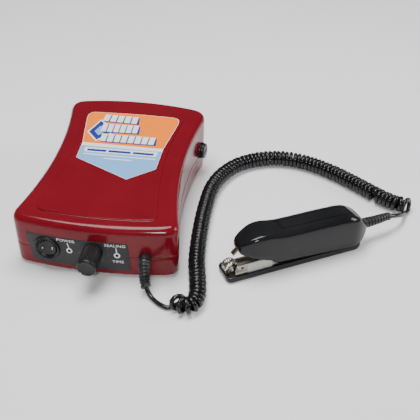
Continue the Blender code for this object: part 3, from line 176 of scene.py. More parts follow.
LEAD_UNIT_ROUTE = [(49.4, -123.8, 7.2), (51.4, -126.6, 4.6), (54.9, -130.2, 2.6), (60.4, -135.0, 2.15),
                   (65.9, -138.4, 2.15), (70.0, -139.6, 2.15)]
COIL_ROUTE = [(77.0, -134.4), (79.6, -139.4), (85.5, -141.4), (91.0, -137.4), (93.0, -128.5), (91.8, -117.0),
              (88.8, -101.0), (85.6, -84.0), (83.3, -62.0), (81.9, -40.7), (81.0, -18.6), (81.0, 3.0),
              (82.0, 24.0), (85.4, 41.0), (91.1, 55.5), (98.9, 68.0), (108.8, 78.0), (128.5, 88.6),
              (151.0, 91.6), (174.8, 86.2), (198.4, 74.0), (221.4, 57.6), (243.7, 40.4), (258.5, 31.4),
              (265.5, 30.6), (271.4, 28.4)]
LEAD_HANDSET_ROUTE = [(251.2, -2.7, 16.2), (256.5, 1.6, 14.2), (261.5, 8.0, 10.6), (265.3, 14.8, 6.6),
                      (267.2, 20.6, 3.9)]


# ---- numbers and curves

def hermite(table, x):
    """Read a smooth curve through the (x, y) pairs of a table, flat beyond both ends."""
    if x <= table[0][0]:
        return table[0][1]
    if x >= table[-1][0]:
        return table[-1][1]
    slopes = []
    for before, here, after in zip(table[:1] + table, table, table[1:] + table[-1:]):
        slopes.append((after[1] - before[1]) / (after[0] - before[0]))
    for index in range(len(table) - 1):
        (x0, y0), (x1, y1) = table[index], table[index + 1]
        if x <= x1:
            span = x1 - x0
            u = (x - x0) / span
            rise = (y1 - y0) / span
            start = slopes[index] if slopes[index] * rise > 0 else 0.0
            end = slopes[index + 1] if slopes[index + 1] * rise > 0 else 0.0
            return (y0 * (2 * u**3 - 3 * u**2 + 1) + y1 * (3 * u**2 - 2 * u**3)
                    + span * (start * (u**3 - 2 * u**2 + u) + end * (u**3 - u**2)))
    return table[-1][1]


def linear(table, x):
    """Read the straight lines through the (x, y) pairs of a table."""
    for (x0, y0), (x1, y1) in zip(table, table[1:]):
        if x <= x1:
            return y0 + (y1 - y0) * (x - x0) / (x1 - x0)
    return table[-1][1]


def smooth_route(points, steps):
    """Run a Catmull-Rom curve through the points and return steps points on each stretch."""
    knots = [Vector(p) for p in points]
    knots = [2 * knots[0] - knots[1]] + knots + [2 * knots[-1] - knots[-2]]
    route = []
    for a, b, c, d in zip(knots, knots[1:], knots[2:], knots[3:]):
        for k in range(steps):
            u = k / steps
            route.append(0.5 * (2 * b + (c - a) * u + (2 * a - 5 * b + 4 * c - d) * u**2
                                + (3 * b - a - 3 * c + d) * u**3))
    route.append(knots[-2])
    return route


def lengths_along(route):
    lengths = [0.0]
    for a, b in zip(route, route[1:]):
        lengths.append(lengths[-1] + (b - a).length)
    return lengths


def even_route(route, spacing):
    """Return points on the route that are about spacing apart, its two ends among them."""
    lengths = lengths_along(route)
    count = max(2, round(lengths[-1] / spacing))
    points = []
    leg = 0
    for k in range(count + 1):
        wanted = lengths[-1] * k / count
        while leg < len(route) - 2 and lengths[leg + 1] < wanted:
            leg += 1
        u = (wanted - lengths[leg]) / (lengths[leg + 1] - lengths[leg])
        points.append(route[leg].lerp(route[leg + 1], u))
    return points


# ---- frames

def axes_frame(origin, x_axis, y_axis, z_axis):
    """Build the matrix whose local axes are the three given directions."""
    matrix = Matrix((x_axis, y_axis, z_axis)).transposed().to_4x4()
    matrix.translation = Vector(origin)
    return matrix


WORLD = Matrix.Identity(4)
X_AXIS, Y_AXIS, Z_AXIS = Vector((1, 0, 0)), Vector((0, 1, 0)), Vector((0, 0, 1))


def front_wall_y(x):
    return -(CASE_HALF_DEPTH + CASE_BULGE * (1 - (x / CASE_HALF_WIDTH)**2))


def back_wall_y(x):
    return CASE_REAR_DEPTH + CASE_REAR_BULGE * (1 - (x / CASE_REAR_HALF_WIDTH)**2)


def side_share(y):
    """Return where y is along the case's side, from -1 at the front corner to 1 at the back corner."""
    return (2 * y + CASE_HALF_DEPTH - CASE_REAR_DEPTH) / (CASE_HALF_DEPTH + CASE_REAR_DEPTH)


def side_wall_x(y):
    u = side_share(y)
    straight = CASE_HALF_WIDTH + (CASE_REAR_HALF_WIDTH - CASE_HALF_WIDTH) * (u + 1) / 2
    return straight - CASE_WAIST * (1 - u**2)


def lift(y, z):
    """Return how much a point of the upper case is raised, because its top rises towards the back."""
    share = (z - PARTING_Z - 1.0) / (CASE_TOP - TOP_EDGE_RADIUS - PARTING_Z - 1.0)
    return TOP_SLOPE * (y + CASE_HALF_DEPTH) * min(1.0, max(0.0, share))


def wall_inset(z):
    return CASE_DRAFT * max(0.0, 1 - z / (CASE_TOP - TOP_EDGE_RADIUS))


def wall_frame(x, y, z, along):
    """Return a frame on an outer wall of the case: X along it, Y up, Z out of it."""
    along = along.normalized()
    out = Vector((along.y, -along.x, 0.0))
    return axes_frame(Vector((x, y, z)) - out * wall_inset(z), along, Z_AXIS, out)


def front_frame(x, z):
    slope = 2 * CASE_BULGE * x / CASE_HALF_WIDTH**2
    return wall_frame(x, front_wall_y(x), z, Vector((1.0, slope, 0.0)))


def right_frame(y, z):
    taper = (CASE_REAR_HALF_WIDTH - CASE_HALF_WIDTH) / 2 + 2 * CASE_WAIST * side_share(y)
    slope = taper * 2 / (CASE_HALF_DEPTH + CASE_REAR_DEPTH)
    return wall_frame(side_wall_x(y), y, z, Vector((slope, 1.0, 0.0)))


def back_frame(x, z):
    slope = 2 * CASE_REAR_BULGE * x / CASE_REAR_HALF_WIDTH**2
    return wall_frame(x, back_wall_y(x), z, Vector((-1.0, slope, 0.0)))


HANDSET = Matrix.Translation(HANDSET_ORIGIN) @ Matrix.Rotation(radians(HANDSET_YAW), 4, "Z")
UPRIGHT = HANDSET @ axes_frame((0, 0, 0), X_AXIS, Z_AXIS, -Y_AXIS)


def across_handset(s, z):
    """Return a frame in the handset whose Z runs across it, along t."""
    return HANDSET @ axes_frame((s, 0, z), X_AXIS, -Z_AXIS, Y_AXIS)


def tilted(rise):
    """Return the directions along and square to a line that rises by an angle in the handset."""
    angle = radians(rise)
    return Vector((cos(angle), 0, sin(angle))), Vector((-sin(angle), 0, cos(angle)))


# ---- solids

def loft(rings, looped=False):
    """Skin rings of equal length into one closed body, capped at both ends or closed into a loop."""
    bm = bmesh.new()
    rows = [[bm.verts.new(point) for point in ring] for ring in rings]
    pairs = list(zip(rows, rows[1:]))
    if looped:
        pairs.append((rows[-1], rows[0]))
    for lower, upper in pairs:
        for k in range(len(lower)):
            following = (k + 1) % len(lower)
            bm.faces.new((lower[k], lower[following], upper[following], upper[k]))
    if not looped:
        bm.faces.new(list(reversed(rows[0])))
        bm.faces.new(rows[-1])
    bmesh.ops.recalc_face_normals(bm, faces=bm.faces)
    return bm


def circle(radius, height, sides):
    return [Vector((radius * cos(2 * pi * k / sides),
                    radius * sin(2 * pi * k / sides), height)) for k in range(sides)]


def disc(x, y, radius, sides):
    """Return the (x, y) points of a circle for a prism or a print."""
    return [(x + p.x, y + p.y) for p in circle(radius, 0.0, sides)]


def bend(start, tip, end, u):
    """Return the point at u on the round corner from start to end that the tip pulls out."""
    return (1 - u)**2 * start + 2 * u * (1 - u) * tip + u**2 * end


def turned(profile, sides=40, looped=False):
    """Turn a profile of (radius, height) pairs round the local Z axis."""
    return loft([circle(radius, height, sides) for radius, height in profile], looped)


def block(low, high):
    rings = []
    for z in (low[2], high[2]):
        rings.append([Vector((low[0], low[1], z)), Vector((high[0], low[1], z)),
                      Vector((high[0], high[1], z)), Vector((low[0], high[1], z))])
    return loft(rings)


def prism(outline, low, high):
    return loft([[Vector((x, y, z)) for x, y in outline] for z in (low, high)])


def rounded_rectangle(half_width, half_height, radius, steps=6):
    points = []
    for turn, (cx, cy) in enumerate(((1, 1), (-1, 1), (-1, -1), (1, -1))):
        for k in range(steps + 1):
            angle = pi / 2 * (turn + k / steps)
            points.append((cx * (half_width - radius) + radius * cos(angle),
                           cy * (half_height - radius) + radius * sin(angle)))
    return points


def sleeve(route, radii, sides):
    """Skin round rings along a route, one radius for each of its points."""
    rings = []
    normal = None
    for index, point in enumerate(route):
        before = route[max(0, index - 1)]
        after = route[min(len(route) - 1, index + 1)]
        tangent = (after - before).normalized()
        if normal is None:
            normal = tangent.orthogonal().normalized()
        normal = (normal - tangent * normal.dot(tangent)).normalized()
        other = tangent.cross(normal)
        ring = []
        for k in range(sides):
            angle = 2 * pi * k / sides
            ring.append(point + radii[index] * (cos(angle) * normal + sin(angle) * other))
        rings.append(ring)
    return loft(rings)


def new_object(name, data):
    made = bpy.data.objects.new(name, data)
    bpy.context.scene.collection.objects.link(made)
    return made


def placed(name, bm, matrix):
    """Put a body drawn in millimetres into the world as an object."""
    bm.transform(matrix)
    bmesh.ops.scale(bm, vec=(MM, MM, MM), verts=bm.verts)
    mesh = bpy.data.meshes.new(name)
    bm.to_mesh(mesh)
    bm.free()
    return new_object(name, mesh)


def shade(mesh, sharp):
    """Shade a mesh smooth, except at edges sharper than an angle."""
    mesh.shade_smooth()
    mesh.set_sharp_from_angle(angle=radians(sharp))


def add_piece(name, bm, matrix, finish, body, replaces=(), sharp=38.0):
    """Add one visible piece that rides with a body and stands for CAD nodes."""
    piece = placed(name, bm, matrix)
    piece.data.materials.append(finish)
    shade(piece.data, sharp)
    if body:
        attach(piece, body)
    if replaces:
        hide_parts(*replaces)
    return piece


def flattened(source):
    """Return the mesh that an object shows, with its modifiers applied."""
    bpy.context.view_layer.update()
    graph = bpy.context.evaluated_depsgraph_get()
    return bpy.data.meshes.new_from_object(source.evaluated_get(graph), depsgraph=graph)


def combine(piece, bm, matrix, operation="DIFFERENCE"):
    """Cut a tool out of a piece, or join it on by UNION, and keep the result as its mesh."""
    tool = placed("tool", bm, matrix)
    step = piece.modifiers.new("combine", "BOOLEAN")
    step.operation = operation
    step.solver = "EXACT"
    step.object = tool
    result = flattened(piece)
    piece.modifiers.remove(step)
    piece.data = result
    shade(result, 38.0)
    bpy.data.objects.remove(tool, do_unlink=True)


# ---- materials

def surface(name, colour, roughness, metallic=0.0, mottle=0.0, mottle_scale=60.0, grain=0.0,
            grain_scale=1500.0, rough_spread=0.06, stretch=(1.0, 1.0, 1.0), turn=0.0, specular=0.5):
    """A Principled material with mottled colour, uneven gloss and a fine grain, all procedural."""
    made = bpy.data.materials.new(name)
    made.use_nodes = True
    nodes, links = made.node_tree.nodes, made.node_tree.links

    def add(kind, source=None, socket="Vector", **values):
        node = nodes.new("ShaderNode" + kind)
        for key, value in values.items():
            node.inputs[key.replace("_", " ")].default_value = value
        if source:
            links.new(source, node.inputs[socket])
        return node

    place = add("TexCoord")
    turned_to = add("Mapping", place.outputs["Object"], Rotation=(0.0, 0.0, -radians(turn)))
    stretched = add("Mapping", turned_to.outputs["Vector"], Scale=stretch).outputs["Vector"]
    cloud = add("TexNoise", stretched, Scale=mottle_scale, Detail=5.0).outputs["Fac"]
    ramp = add("ValToRGB", cloud, "Fac")
    dark = [c * (1 - mottle) for c in colour]
    light = [min(1.0, c * (1 + mottle) + 0.01 * mottle) for c in colour]
    for stop, position, tone in zip(ramp.color_ramp.elements, CLOUD_RANGE, (dark, light)):
        stop.position = position
        stop.color = (*tone, 1.0)
    gloss = add("MapRange", cloud, "Value", From_Min=CLOUD_RANGE[0], From_Max=CLOUD_RANGE[1],
                To_Min=max(0.02, roughness - rough_spread), To_Max=roughness + rough_spread)
    shader = nodes["Principled BSDF"]
    shader.inputs["Metallic"].default_value = metallic
    shader.inputs["Specular IOR Level"].default_value = specular
    links.new(ramp.outputs["Color"], shader.inputs["Base Color"])
    links.new(gloss.outputs["Result"], shader.inputs["Roughness"])
    if grain:
        fine = add("TexNoise", stretched, Scale=grain_scale, Detail=3.0)
        bump = add("Bump", fine.outputs["Fac"], "Height", Strength=grain, Distance=GRAIN_HEIGHT)
        links.new(bump.outputs["Normal"], shader.inputs["Normal"])
    return made


def ink(name, colour, roughness=0.33, mottle=0.03, mottle_scale=150.0, specular=0.15):
    """A printed colour."""
    return surface(name, colour, roughness, mottle=mottle, mottle_scale=mottle_scale, grain=0.03,
                   grain_scale=900.0, specular=specular)


CLOUD_RANGE = (0.3, 0.7)
GRAIN_HEIGHT = 0.0002
RED = surface("case_red", (0.165, 0.005, 0.012), 0.14, mottle=0.06, mottle_scale=25.0, grain=0.06,
              grain_scale=320.0, rough_spread=0.03, specular=0.28)
CHARCOAL = surface("panel_charcoal", (0.035, 0.035, 0.037), 0.5, mottle=0.15, mottle_scale=400.0, grain=0.25,
                   grain_scale=2500.0, specular=0.25)
BLACK = surface("moulded_black", (0.009, 0.009, 0.010), 0.2, mottle=0.15, mottle_scale=80.0, grain=0.05,
                grain_scale=700.0, rough_spread=0.05, specular=0.3)
HANDLE_BLACK = surface("handle_black", (0.010, 0.010, 0.011), 0.1, mottle=0.15, mottle_scale=40.0, grain=0.03,
                       grain_scale=350.0, rough_spread=0.04, specular=0.3)
SWITCH_BLACK = surface("switch_black", (0.012, 0.012, 0.013), 0.33, mottle=0.12, mottle_scale=200.0,
                       grain=0.12, grain_scale=2200.0, specular=0.3)
CORD_BLACK = surface("cord_black", (0.008, 0.008, 0.009), 0.18, mottle=0.2, mottle_scale=150.0, grain=0.1,
                     rough_spread=0.07, specular=0.4)
BOOT_BLACK = surface("boot_black", (0.013, 0.013, 0.014), 0.42, mottle=0.2, mottle_scale=200.0, grain=0.2,
                     grain_scale=1800.0)
STEEL = surface("brushed_steel", (0.37, 0.36, 0.30), 0.34, 1.0, mottle=0.12, grain=0.35, grain_scale=500.0,
                rough_spread=0.08, stretch=(0.15, 1.0, 2.0), turn=HANDSET_YAW)
CHROME = surface("polished_chrome", (0.66, 0.64, 0.56), 0.27, 1.0, mottle=0.1, mottle_scale=300.0, grain=0.1)
BRASS = surface("brass", (0.66, 0.44, 0.2), 0.3, 1.0, mottle=0.12, mottle_scale=120.0, grain=0.1,
                grain_scale=900.0)
COPPER = surface("copper_wire", (0.5, 0.18, 0.08), 0.4, 0.7, mottle=0.2, mottle_scale=300.0, grain=0.5,
                 grain_scale=900.0, stretch=(1.0, 1.0, 4.0))
BOARD = surface("board_green", (0.02, 0.13, 0.05), 0.35, mottle=0.2, mottle_scale=250.0, grain=0.1,
                grain_scale=900.0)
CERAMIC = surface("ceramic", (0.7, 0.66, 0.55), 0.45, mottle=0.06, mottle_scale=300.0, grain=0.1)
LENS = surface("lamp_lens", (0.012, 0.008, 0.009), 0.12, mottle=0.2, mottle_scale=400.0)
AMBER = surface("plunger_amber", (0.6, 0.25, 0.04), 0.4, mottle=0.1, mottle_scale=400.0, grain=0.1)
ORANGE = ink("print_orange", (1.0, 0.23, 0.012))
BLUE = ink("print_pale_blue", (0.2, 0.44, 0.78))
WHITE = ink("print_white", (0.86, 0.87, 0.88), 0.35, 0.02, 200.0, 0.5)
NAVY = ink("print_navy", (0.028, 0.04, 0.23), 0.35, 0.05, 200.0)
DIM_RED = surface("print_dim_red", (0.2, 0.04, 0.05), 0.5, mottle=0.1, mottle_scale=500.0)
STICKER = surface("plain_sticker", (0.5, 0.5, 0.46), 0.4, mottle=0.08, mottle_scale=300.0, grain=0.05)


# ---- camera, floor and light

CAMERA_LENS = 73.15
CAMERA_AZIMUTH, CAMERA_ELEVATION, CAMERA_ROLL = 8.108, 36.572, 0.667
CAMERA_TARGET = Vector((0.0845, 0.0022, 0.0))
CAMERA_DISTANCE = 0.8157
FLOOR_HALF_WIDTH = 6000.0
FLOOR_Z = -0.2


def make_camera():
    """A long lens in front, to the right of the power unit and above it."""
    camera = new_object("camera", bpy.data.cameras.new("camera"))
    camera.data.lens = CAMERA_LENS
    camera.data.sensor_width = 36.0
    camera.data.clip_start = 0.01
    camera.data.clip_end = 20.0
    azimuth, elevation, roll = [radians(a) for a in (CAMERA_AZIMUTH, CAMERA_ELEVATION, CAMERA_ROLL)]
    back = Vector((sin(azimuth) * cos(elevation), -cos(azimuth) * cos(elevation), sin(elevation)))
    right = Vector((cos(azimuth), sin(azimuth), 0.0))
    up = back.cross(right)
    rolled_right = cos(roll) * right + sin(roll) * up
    rolled_up = -sin(roll) * right + cos(roll) * up
    camera.matrix_world = axes_frame(CAMERA_TARGET + CAMERA_DISTANCE * back, rolled_right, rolled_up, back)
    bpy.context.scene.camera = camera


def make_floor():
    bm = bmesh.new()
    half = FLOOR_HALF_WIDTH
    corners = ((-half, -half), (half, -half), (half, half), (-half, half))
    bm.faces.new([bm.verts.new(Vector((x, y, FLOOR_Z))) for x, y in corners])
    floor = placed("floor", bm, WORLD)
    pale = surface("floor_pale", (0.92, 0.92, 0.922), 0.65, mottle=0.01, mottle_scale=3.0)
    floor.data.materials.append(pale)


def add_light(name, place, target, width, height, power):
    """Add one rectangular soft light; its places and sizes are in metres."""
    data = bpy.data.lights.new(name, "AREA")
    data.shape = "RECTANGLE"
    data.size, data.size_y = width, height
    data.energy = power
    light = new_object(name, data)
    light.location = place
    light.rotation_mode = "QUATERNION"
    light.rotation_quaternion = (Vector(target) - Vector(place)).to_track_quat("-Z", "Y")


def make_lights():
    """A pale room, a soft box overhead, one at the right and a small one in front."""
    world = bpy.data.worlds.new("studio")
    bpy.context.scene.world = world
    world.use_nodes = True
    background = world.node_tree.nodes["Background"]
    background.inputs["Color"].default_value = (0.92, 0.94, 0.97, 1.0)
    background.inputs["Strength"].default_value = 0.12
    add_light("overhead", (-0.1, 0.1, 1.3), (0.05, 0.0, 0.0), 1.0, 0.6, 23.0)
    add_light("right_box", (1.1, 0.25, 0.5), (0.1, 0.0, 0.03), 0.5, 0.5, 6.0)
    add_light("front_small", (0.25, -1.3, 1.1), (0.05, -0.05, 0.03), 0.3, 0.16, 11.0)


# ---- cord

def coil_route():
    return smooth_route([(x, y, COIL_Z) for x, y in COIL_ROUTE], 40)


def phase_plan(total):
    """Return the turning phase along the coil, as a function of length: it reverses hand near its end."""
    rate = 2 * pi / COIL_PITCH
    reverse_wanted = total - COIL_REVERSE_FROM_END

    def raw(length, reverse):
        steps = 400
        phase = 0.0
        for k in range(steps):
            phase += speed((k + 0.5) * length / steps, reverse) * length / steps
        return phase

    def speed(length, reverse):
        ends = min(1.0, 0.62 + 0.38 * min(length, total - length) / COIL_LOOSE_END)
        turn = max(-1.0, min(1.0, (reverse - length) / COIL_REVERSE_RAMP))
        return rate * ends * sin(pi / 2 * turn)

    whole = raw(total, reverse_wanted)
    missing = round(whole / (2 * pi)) * 2 * pi - whole
    reverse = reverse_wanted + missing / (2 * rate)
    return lambda length: speed(length, reverse)


def cord_path():
    """Return the whole cable's centreline: a lead, the coil's turns, and the other lead."""
    axis = even_route(coil_route(), 0.25)
    lengths = lengths_along(axis)
    total = lengths[-1]
    speed = phase_plan(total)
    radius = (COIL_DIAMETER - CABLE_DIAMETER) / 2
    turns = []
    phase = -pi / 2
    kept = phase
    step = 2 * pi / POINTS_PER_TURN
    for index, point in enumerate(axis):
        if index:
            phase += speed((lengths[index] + lengths[index - 1]) / 2) * (lengths[index] - lengths[index - 1])
        if index in (0, len(axis) - 1) or abs(phase - kept) >= step or index % 6 == 0:
            kept = phase
            before, after = axis[max(0, index - 4)], axis[min(len(axis) - 1, index + 4)]
            tangent = (after - before).normalized()
            side = Z_AXIS.cross(tangent)
            sway = 0.22 * sin(0.9 * lengths[index] + 1.3) * sin(0.31 * lengths[index])
            lean = 0.25 * sin(0.21 * lengths[index])
            offset = radius * (cos(phase) * side + sin(phase) * Z_AXIS)
            turns.append(point + offset + tangent * (sway + lean * sin(phase)))
    unit_lead = smooth_route(LEAD_UNIT_ROUTE + [(73.6, -138.2, 2.12), tuple(turns[0])], 6)
    handset_lead = smooth_route([tuple(turns[-1]), (269.9, 25.4, 2.6)] + LEAD_HANDSET_ROUTE[::-1], 6)
    path = [Vector(LEAD_UNIT_ROUTE[0]) + Vector((-0.9, 1.3, 1.4))] + unit_lead[:-1] + turns + handset_lead[1:]
    path.append(Vector(LEAD_HANDSET_ROUTE[0]) + Vector((-1.6, -1.4, 0.5)))
    return path


def make_cord():
    path = cord_path()
    tube = sleeve(path, [CABLE_DIAMETER / 2] * len(path), 10)
    cord = add_piece("curly_cord", tube, WORLD, CORD_BLACK, None, sharp=80.0)
    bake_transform(cord)
    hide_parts("cord_lead_unit", "cord_coil", "cord_lead_handset")


# ---- case

def rounded_outline(sides, corner, side_steps, corner_steps):
    points = []
    for index, side in enumerate(sides):
        following = sides[(index + 1) % len(sides)]
        trim = corner / (side(1) - side(0)).length
        next_trim = corner / (following(1) - following(0)).length
        for k in range(side_steps + 1):
            points.append(side(trim + (1 - 2 * trim) * k / side_steps))
        start, tip, end = side(1 - trim), side(1), following(next_trim)
        points += [bend(start, tip, end, k / corner_steps) for k in range(1, corner_steps)]
    return points


def offset_outline(points, inset):
    moved = []
    for index, point in enumerate(points):
        along = (points[(index + 1) % len(points)] - points[index - 1]).normalized()
        moved.append(point + Vector((-along.y, along.x)) * inset)
    return moved


def mirrored(point):
    return Vector((-point.x, point.y))


def case_sides():
    """Return the case's four sides, each as a function of how far along it a point is."""
    def front(u):
        x = CASE_HALF_WIDTH * (2 * u - 1)
        return Vector((x, front_wall_y(x)))

    def right(u):
        y = (CASE_HALF_DEPTH + CASE_REAR_DEPTH) * u - CASE_HALF_DEPTH
        return Vector((side_wall_x(y), y))

    def back(u):
        x = CASE_REAR_HALF_WIDTH * (1 - 2 * u)
        return Vector((x, back_wall_y(x)))

    return [front, right, back, lambda u: mirrored(right(1 - u))]


def pad_half_width(y):
    return side_wall_x(y) - PAD_SIDE_INSET - PAD_SIDE_TAPER * y / PAD_BACK_Y


def pad_sides():
    front_y = front_wall_y(pad_half_width(-CASE_HALF_DEPTH)) + PAD_FRONT_INSET
    back_y = PAD_BACK_Y - PAD_BACK_BULGE * (pad_half_width(PAD_BACK_Y) / CASE_HALF_WIDTH)**2

    def front(u):
        x = pad_half_width(front_y) * (2 * u - 1)
        return Vector((x, front_wall_y(x) + PAD_FRONT_INSET))

    def right(u):
        y = front_y + (back_y - front_y) * u
        return Vector((pad_half_width(y), y))

    def back(u):
        x = pad_half_width(back_y) * (1 - 2 * u)
        return Vector((x, PAD_BACK_Y - PAD_BACK_BULGE * (x / CASE_HALF_WIDTH)**2))

    return [front, right, back, lambda u: mirrored(right(1 - u))]


CASE_OUTLINE = rounded_outline(case_sides(), CASE_CORNER, SIDE_STEPS, CORNER_STEPS)
PAD_OUTLINE = rounded_outline(pad_sides(), PAD_CORNER, SIDE_STEPS, CORNER_STEPS)


def case_ring(inset, z, outline=CASE_OUTLINE):
    return [Vector((p.x, p.y, z + lift(p.y, z))) for p in offset_outline(outline, inset)]


def pad_ring(inset, above):
    """Return a ring round the pad, at a height above the case's top."""
    return case_ring(inset, CASE_TOP + above, PAD_OUTLINE)


def rim_rings(away):
    """Return the rings of a half's rim beside the parting groove; away is 1 for the upper half, -1 below."""
    rim = PARTING_Z + away * PARTING_HALF_GROOVE
    wall = wall_inset(rim)
    return [case_ring(wall + CASE_WALL, rim), case_ring(wall + 0.35, rim),
            case_ring(wall + 0.1, rim + away * 0.1), case_ring(wall, rim + away * 0.35)]


def make_case():
    """The two case halves, with a fine groove where they meet."""
    widest = CASE_TOP - TOP_EDGE_RADIUS
    rings = [pad_ring(CASE_WALL, PAD_RISE - CASE_WALL),
             case_ring(TOP_EDGE_RADIUS + CASE_WALL, CASE_TOP - CASE_WALL - 0.4),
             case_ring(CASE_WALL + 1.4, widest + 2.2), case_ring(CASE_WALL, widest - 2.0)]
    rings += rim_rings(1)
    rings += [case_ring(wall_inset(z), z) for z in (26.0, 30.0, 34.0, 38.0, 42.0, 44.0)]
    for k in range(13):
        angle = pi / 2 * k / 12
        rings.append(case_ring(TOP_EDGE_RADIUS * (1 - cos(angle)), widest + TOP_EDGE_RADIUS * sin(angle)))
    rings.append(case_ring(TOP_EDGE_RADIUS + 0.4, CASE_TOP))
    for inset, above in ((-0.5, 0.0), (-0.2, 0.03), (0.0, 0.2), (0.04, PAD_RISE - 0.3),
                         (0.15, PAD_RISE - 0.08), (0.42, PAD_RISE), (0.9, PAD_RISE)):
        rings.append(pad_ring(inset, above))
    top = add_piece("case_upper", loft(rings), WORLD, RED, "power_unit", ("top_shell",), 50.0)
    floor = CASE_UNDERSIDE + CASE_WALL
    rings = [case_ring(CASE_DRAFT + CASE_WALL + 0.8, floor), case_ring(CASE_DRAFT + CASE_WALL, floor + 0.8)]
    rings += rim_rings(-1)
    rings += [case_ring(wall_inset(z), z) for z in (18.0, 14.0, 10.0, 6.0)]
    low = CASE_UNDERSIDE + LOW_EDGE_RADIUS
    for k in range(7):
        angle = pi / 2 * k / 6
        rings.append(case_ring(wall_inset(low) + LOW_EDGE_RADIUS * (1 - cos(angle)),
                               low - LOW_EDGE_RADIUS * sin(angle)))
    rings.append(case_ring(wall_inset(low) + LOW_EDGE_RADIUS + 0.5, CASE_UNDERSIDE))
    bottom = add_piece("case_lower", loft(rings), WORLD, RED, "power_unit", ("bottom_shell",),
                       50.0)
    hole = rounded_rectangle(INLET_HALF_WIDTH + 0.2, INLET_HALF_HEIGHT + 0.2, 2.0)
    for shell in (top, bottom):
        combine(shell, prism(hole, -8.0, 8.0), back_frame(INLET_X, INLET_Z))
    for x, y in SCREW_PLACES:
        combine(bottom, turned([(3.4, -2.0), (3.4, 3.8)], 24), Matrix.Translation((x, y, 0)))
    notch = right_frame(NOTCH_Y, NOTCH_Z) @ Matrix.Rotation(radians(NOTCH_TURN), 4, "Z")
    combine(bottom, block((-0.8, -3.3, -0.8), (0.8, 3.3, 2.0)), notch)


# ---- front panel

def panel_outline():
    corners = [Vector(corner) for corner in (
        (PANEL_LEFT_LOW, PANEL_LOW_Z), (PANEL_RIGHT_LOW, PANEL_LOW_Z),
        (PANEL_RIGHT_TOP, PANEL_TOP_Z), (PANEL_LEFT_TOP, PANEL_TOP_Z))]
    points = []
    for index, tip in enumerate(corners):
        before, after = corners[index - 1], corners[(index + 1) % 4]
        start = tip + (before - tip).normalized() * PANEL_CORNER
        end = tip + (after - tip).normalized() * PANEL_CORNER
        points += [bend(start, tip, end, k / 6) for k in range(7)]
    return points


def on_front(x, z, out):
    """Return the point that far out of the front wall at x and z."""
    return front_frame(x, z) @ Vector((0, 0, out))


def make_front_panel():
    """The dark panel: a thin plate that follows the wall."""
    outline = []
    points = panel_outline()
    for index, point in enumerate(points):
        following = points[(index + 1) % len(points)]
        steps = max(1, round((following - point).length / 4.0))
        for k in range(steps):
            outline.append(point.lerp(following, k / steps))
    centre = Vector((-12.0, 22.2))
    rings = []
    for shrink, out in ((0.0, -0.6), (0.0, PANEL_PROUD - 0.12), (0.12, PANEL_PROUD)):
        ring = []
        for point in outline:
            inward = (centre - point).normalized() * shrink
            ring.append(on_front(point.x + inward.x, point.y + inward.y, out))
        rings.append(ring)
    for share in (0.85, 0.6, 0.35, 0.1):
        shrunk = [centre + (p - centre) * share for p in outline]
        rings.append([on_front(p.x, p.y, PANEL_PROUD) for p in shrunk])
    add_piece("front_plate", loft(rings), WORLD, CHARCOAL, "power_unit", ("front_panel",),
              60.0)


def make_mark(name, x, z, outline, finish):
    """Print one flat shape on the front panel: outline is round (x, z) in the panel's plane."""
    levels = (PANEL_PROUD - 0.05, PANEL_PROUD + PRINT_THICKNESS)
    rings = [[on_front(x + u, z + v, out) for u, v in outline] for out in levels]
    add_piece(name, loft(rings), WORLD, finish, "power_unit", sharp=30.0)


def make_words(name, text, x, z, height):
    """Print one plain control word on the front panel."""
    curve = bpy.data.curves.new(name, "FONT")
    curve.body = text
    curve.align_x = "CENTER"
    curve.align_y = "CENTER"
    curve.size = height * 1.38
    curve.extrude = 0.06
    curve.resolution_u = 3
    curve.space_character = 1.04
    source = new_object(name + "_source", curve)
    flat = flattened(source)
    bpy.data.objects.remove(source, do_unlink=True)
    bm = bmesh.new()
    bm.from_mesh(flat)
    bpy.data.meshes.remove(flat)
    for vertex in bm.verts:
        out = PANEL_PROUD + 0.06 + vertex.co.z
        vertex.co = on_front(x + vertex.co.x * 1.15, z + vertex.co.y, out)
    add_piece(name, bm, WORLD, WHITE, "power_unit", sharp=30.0)


def make_panel_print():
    """The white rings, leaders and words, and the dim dots round the dial."""
    for name, x, lean in (("power", POWER_LED_X, -1.2), ("sealing", TIME_LED_X, -0.5)):
        make_mark(name + "_ring", x, CONTROLS_Z, disc(0.0, 0.0, 2.7, 32), WHITE)
        leader = [(-0.45, 2.5), (0.45, 2.5), (lean + 0.4, 8.0), (lean - 0.4, 8.0)]
        make_mark(name + "_leader", x, CONTROLS_Z, leader, WHITE)
    for text, x, z in (("POWER", -23.2, 34.4), ("SEALING", 19.6, 34.4), ("TIME", 21.6, 17.0)):
        make_words("word_" + text.lower(), text, x, z, 2.9)
    for index in range(9):
        angle = radians(-55.0 + 36.0 * index)
        x, z = KNOB_X + DOTS_HALF_WIDTH * cos(angle), KNOB_Z + DOTS_HALF_HEIGHT * sin(angle)
        if not 200.0 < degrees(angle) < 305.0 and z < PANEL_TOP_Z - 1.0:
            make_mark(f"dial_dot_{index}", x, z, disc(0.0, 0.0, 0.55, 10), DIM_RED)


def make_lamps():
    profile = [(1.5, -6.0), (1.5, 0.4), (1.42, 0.65), (1.15, 0.9), (0.7, 1.08), (0.2, 1.14)]
    for node, x in (("power_lamp", POWER_LED_X), ("sealing_lamp", TIME_LED_X)):
        place = front_frame(x, CONTROLS_Z)
        add_piece(node + "_dome", turned(profile, 20), place, LENS, "power_unit", (node,), 60.0)


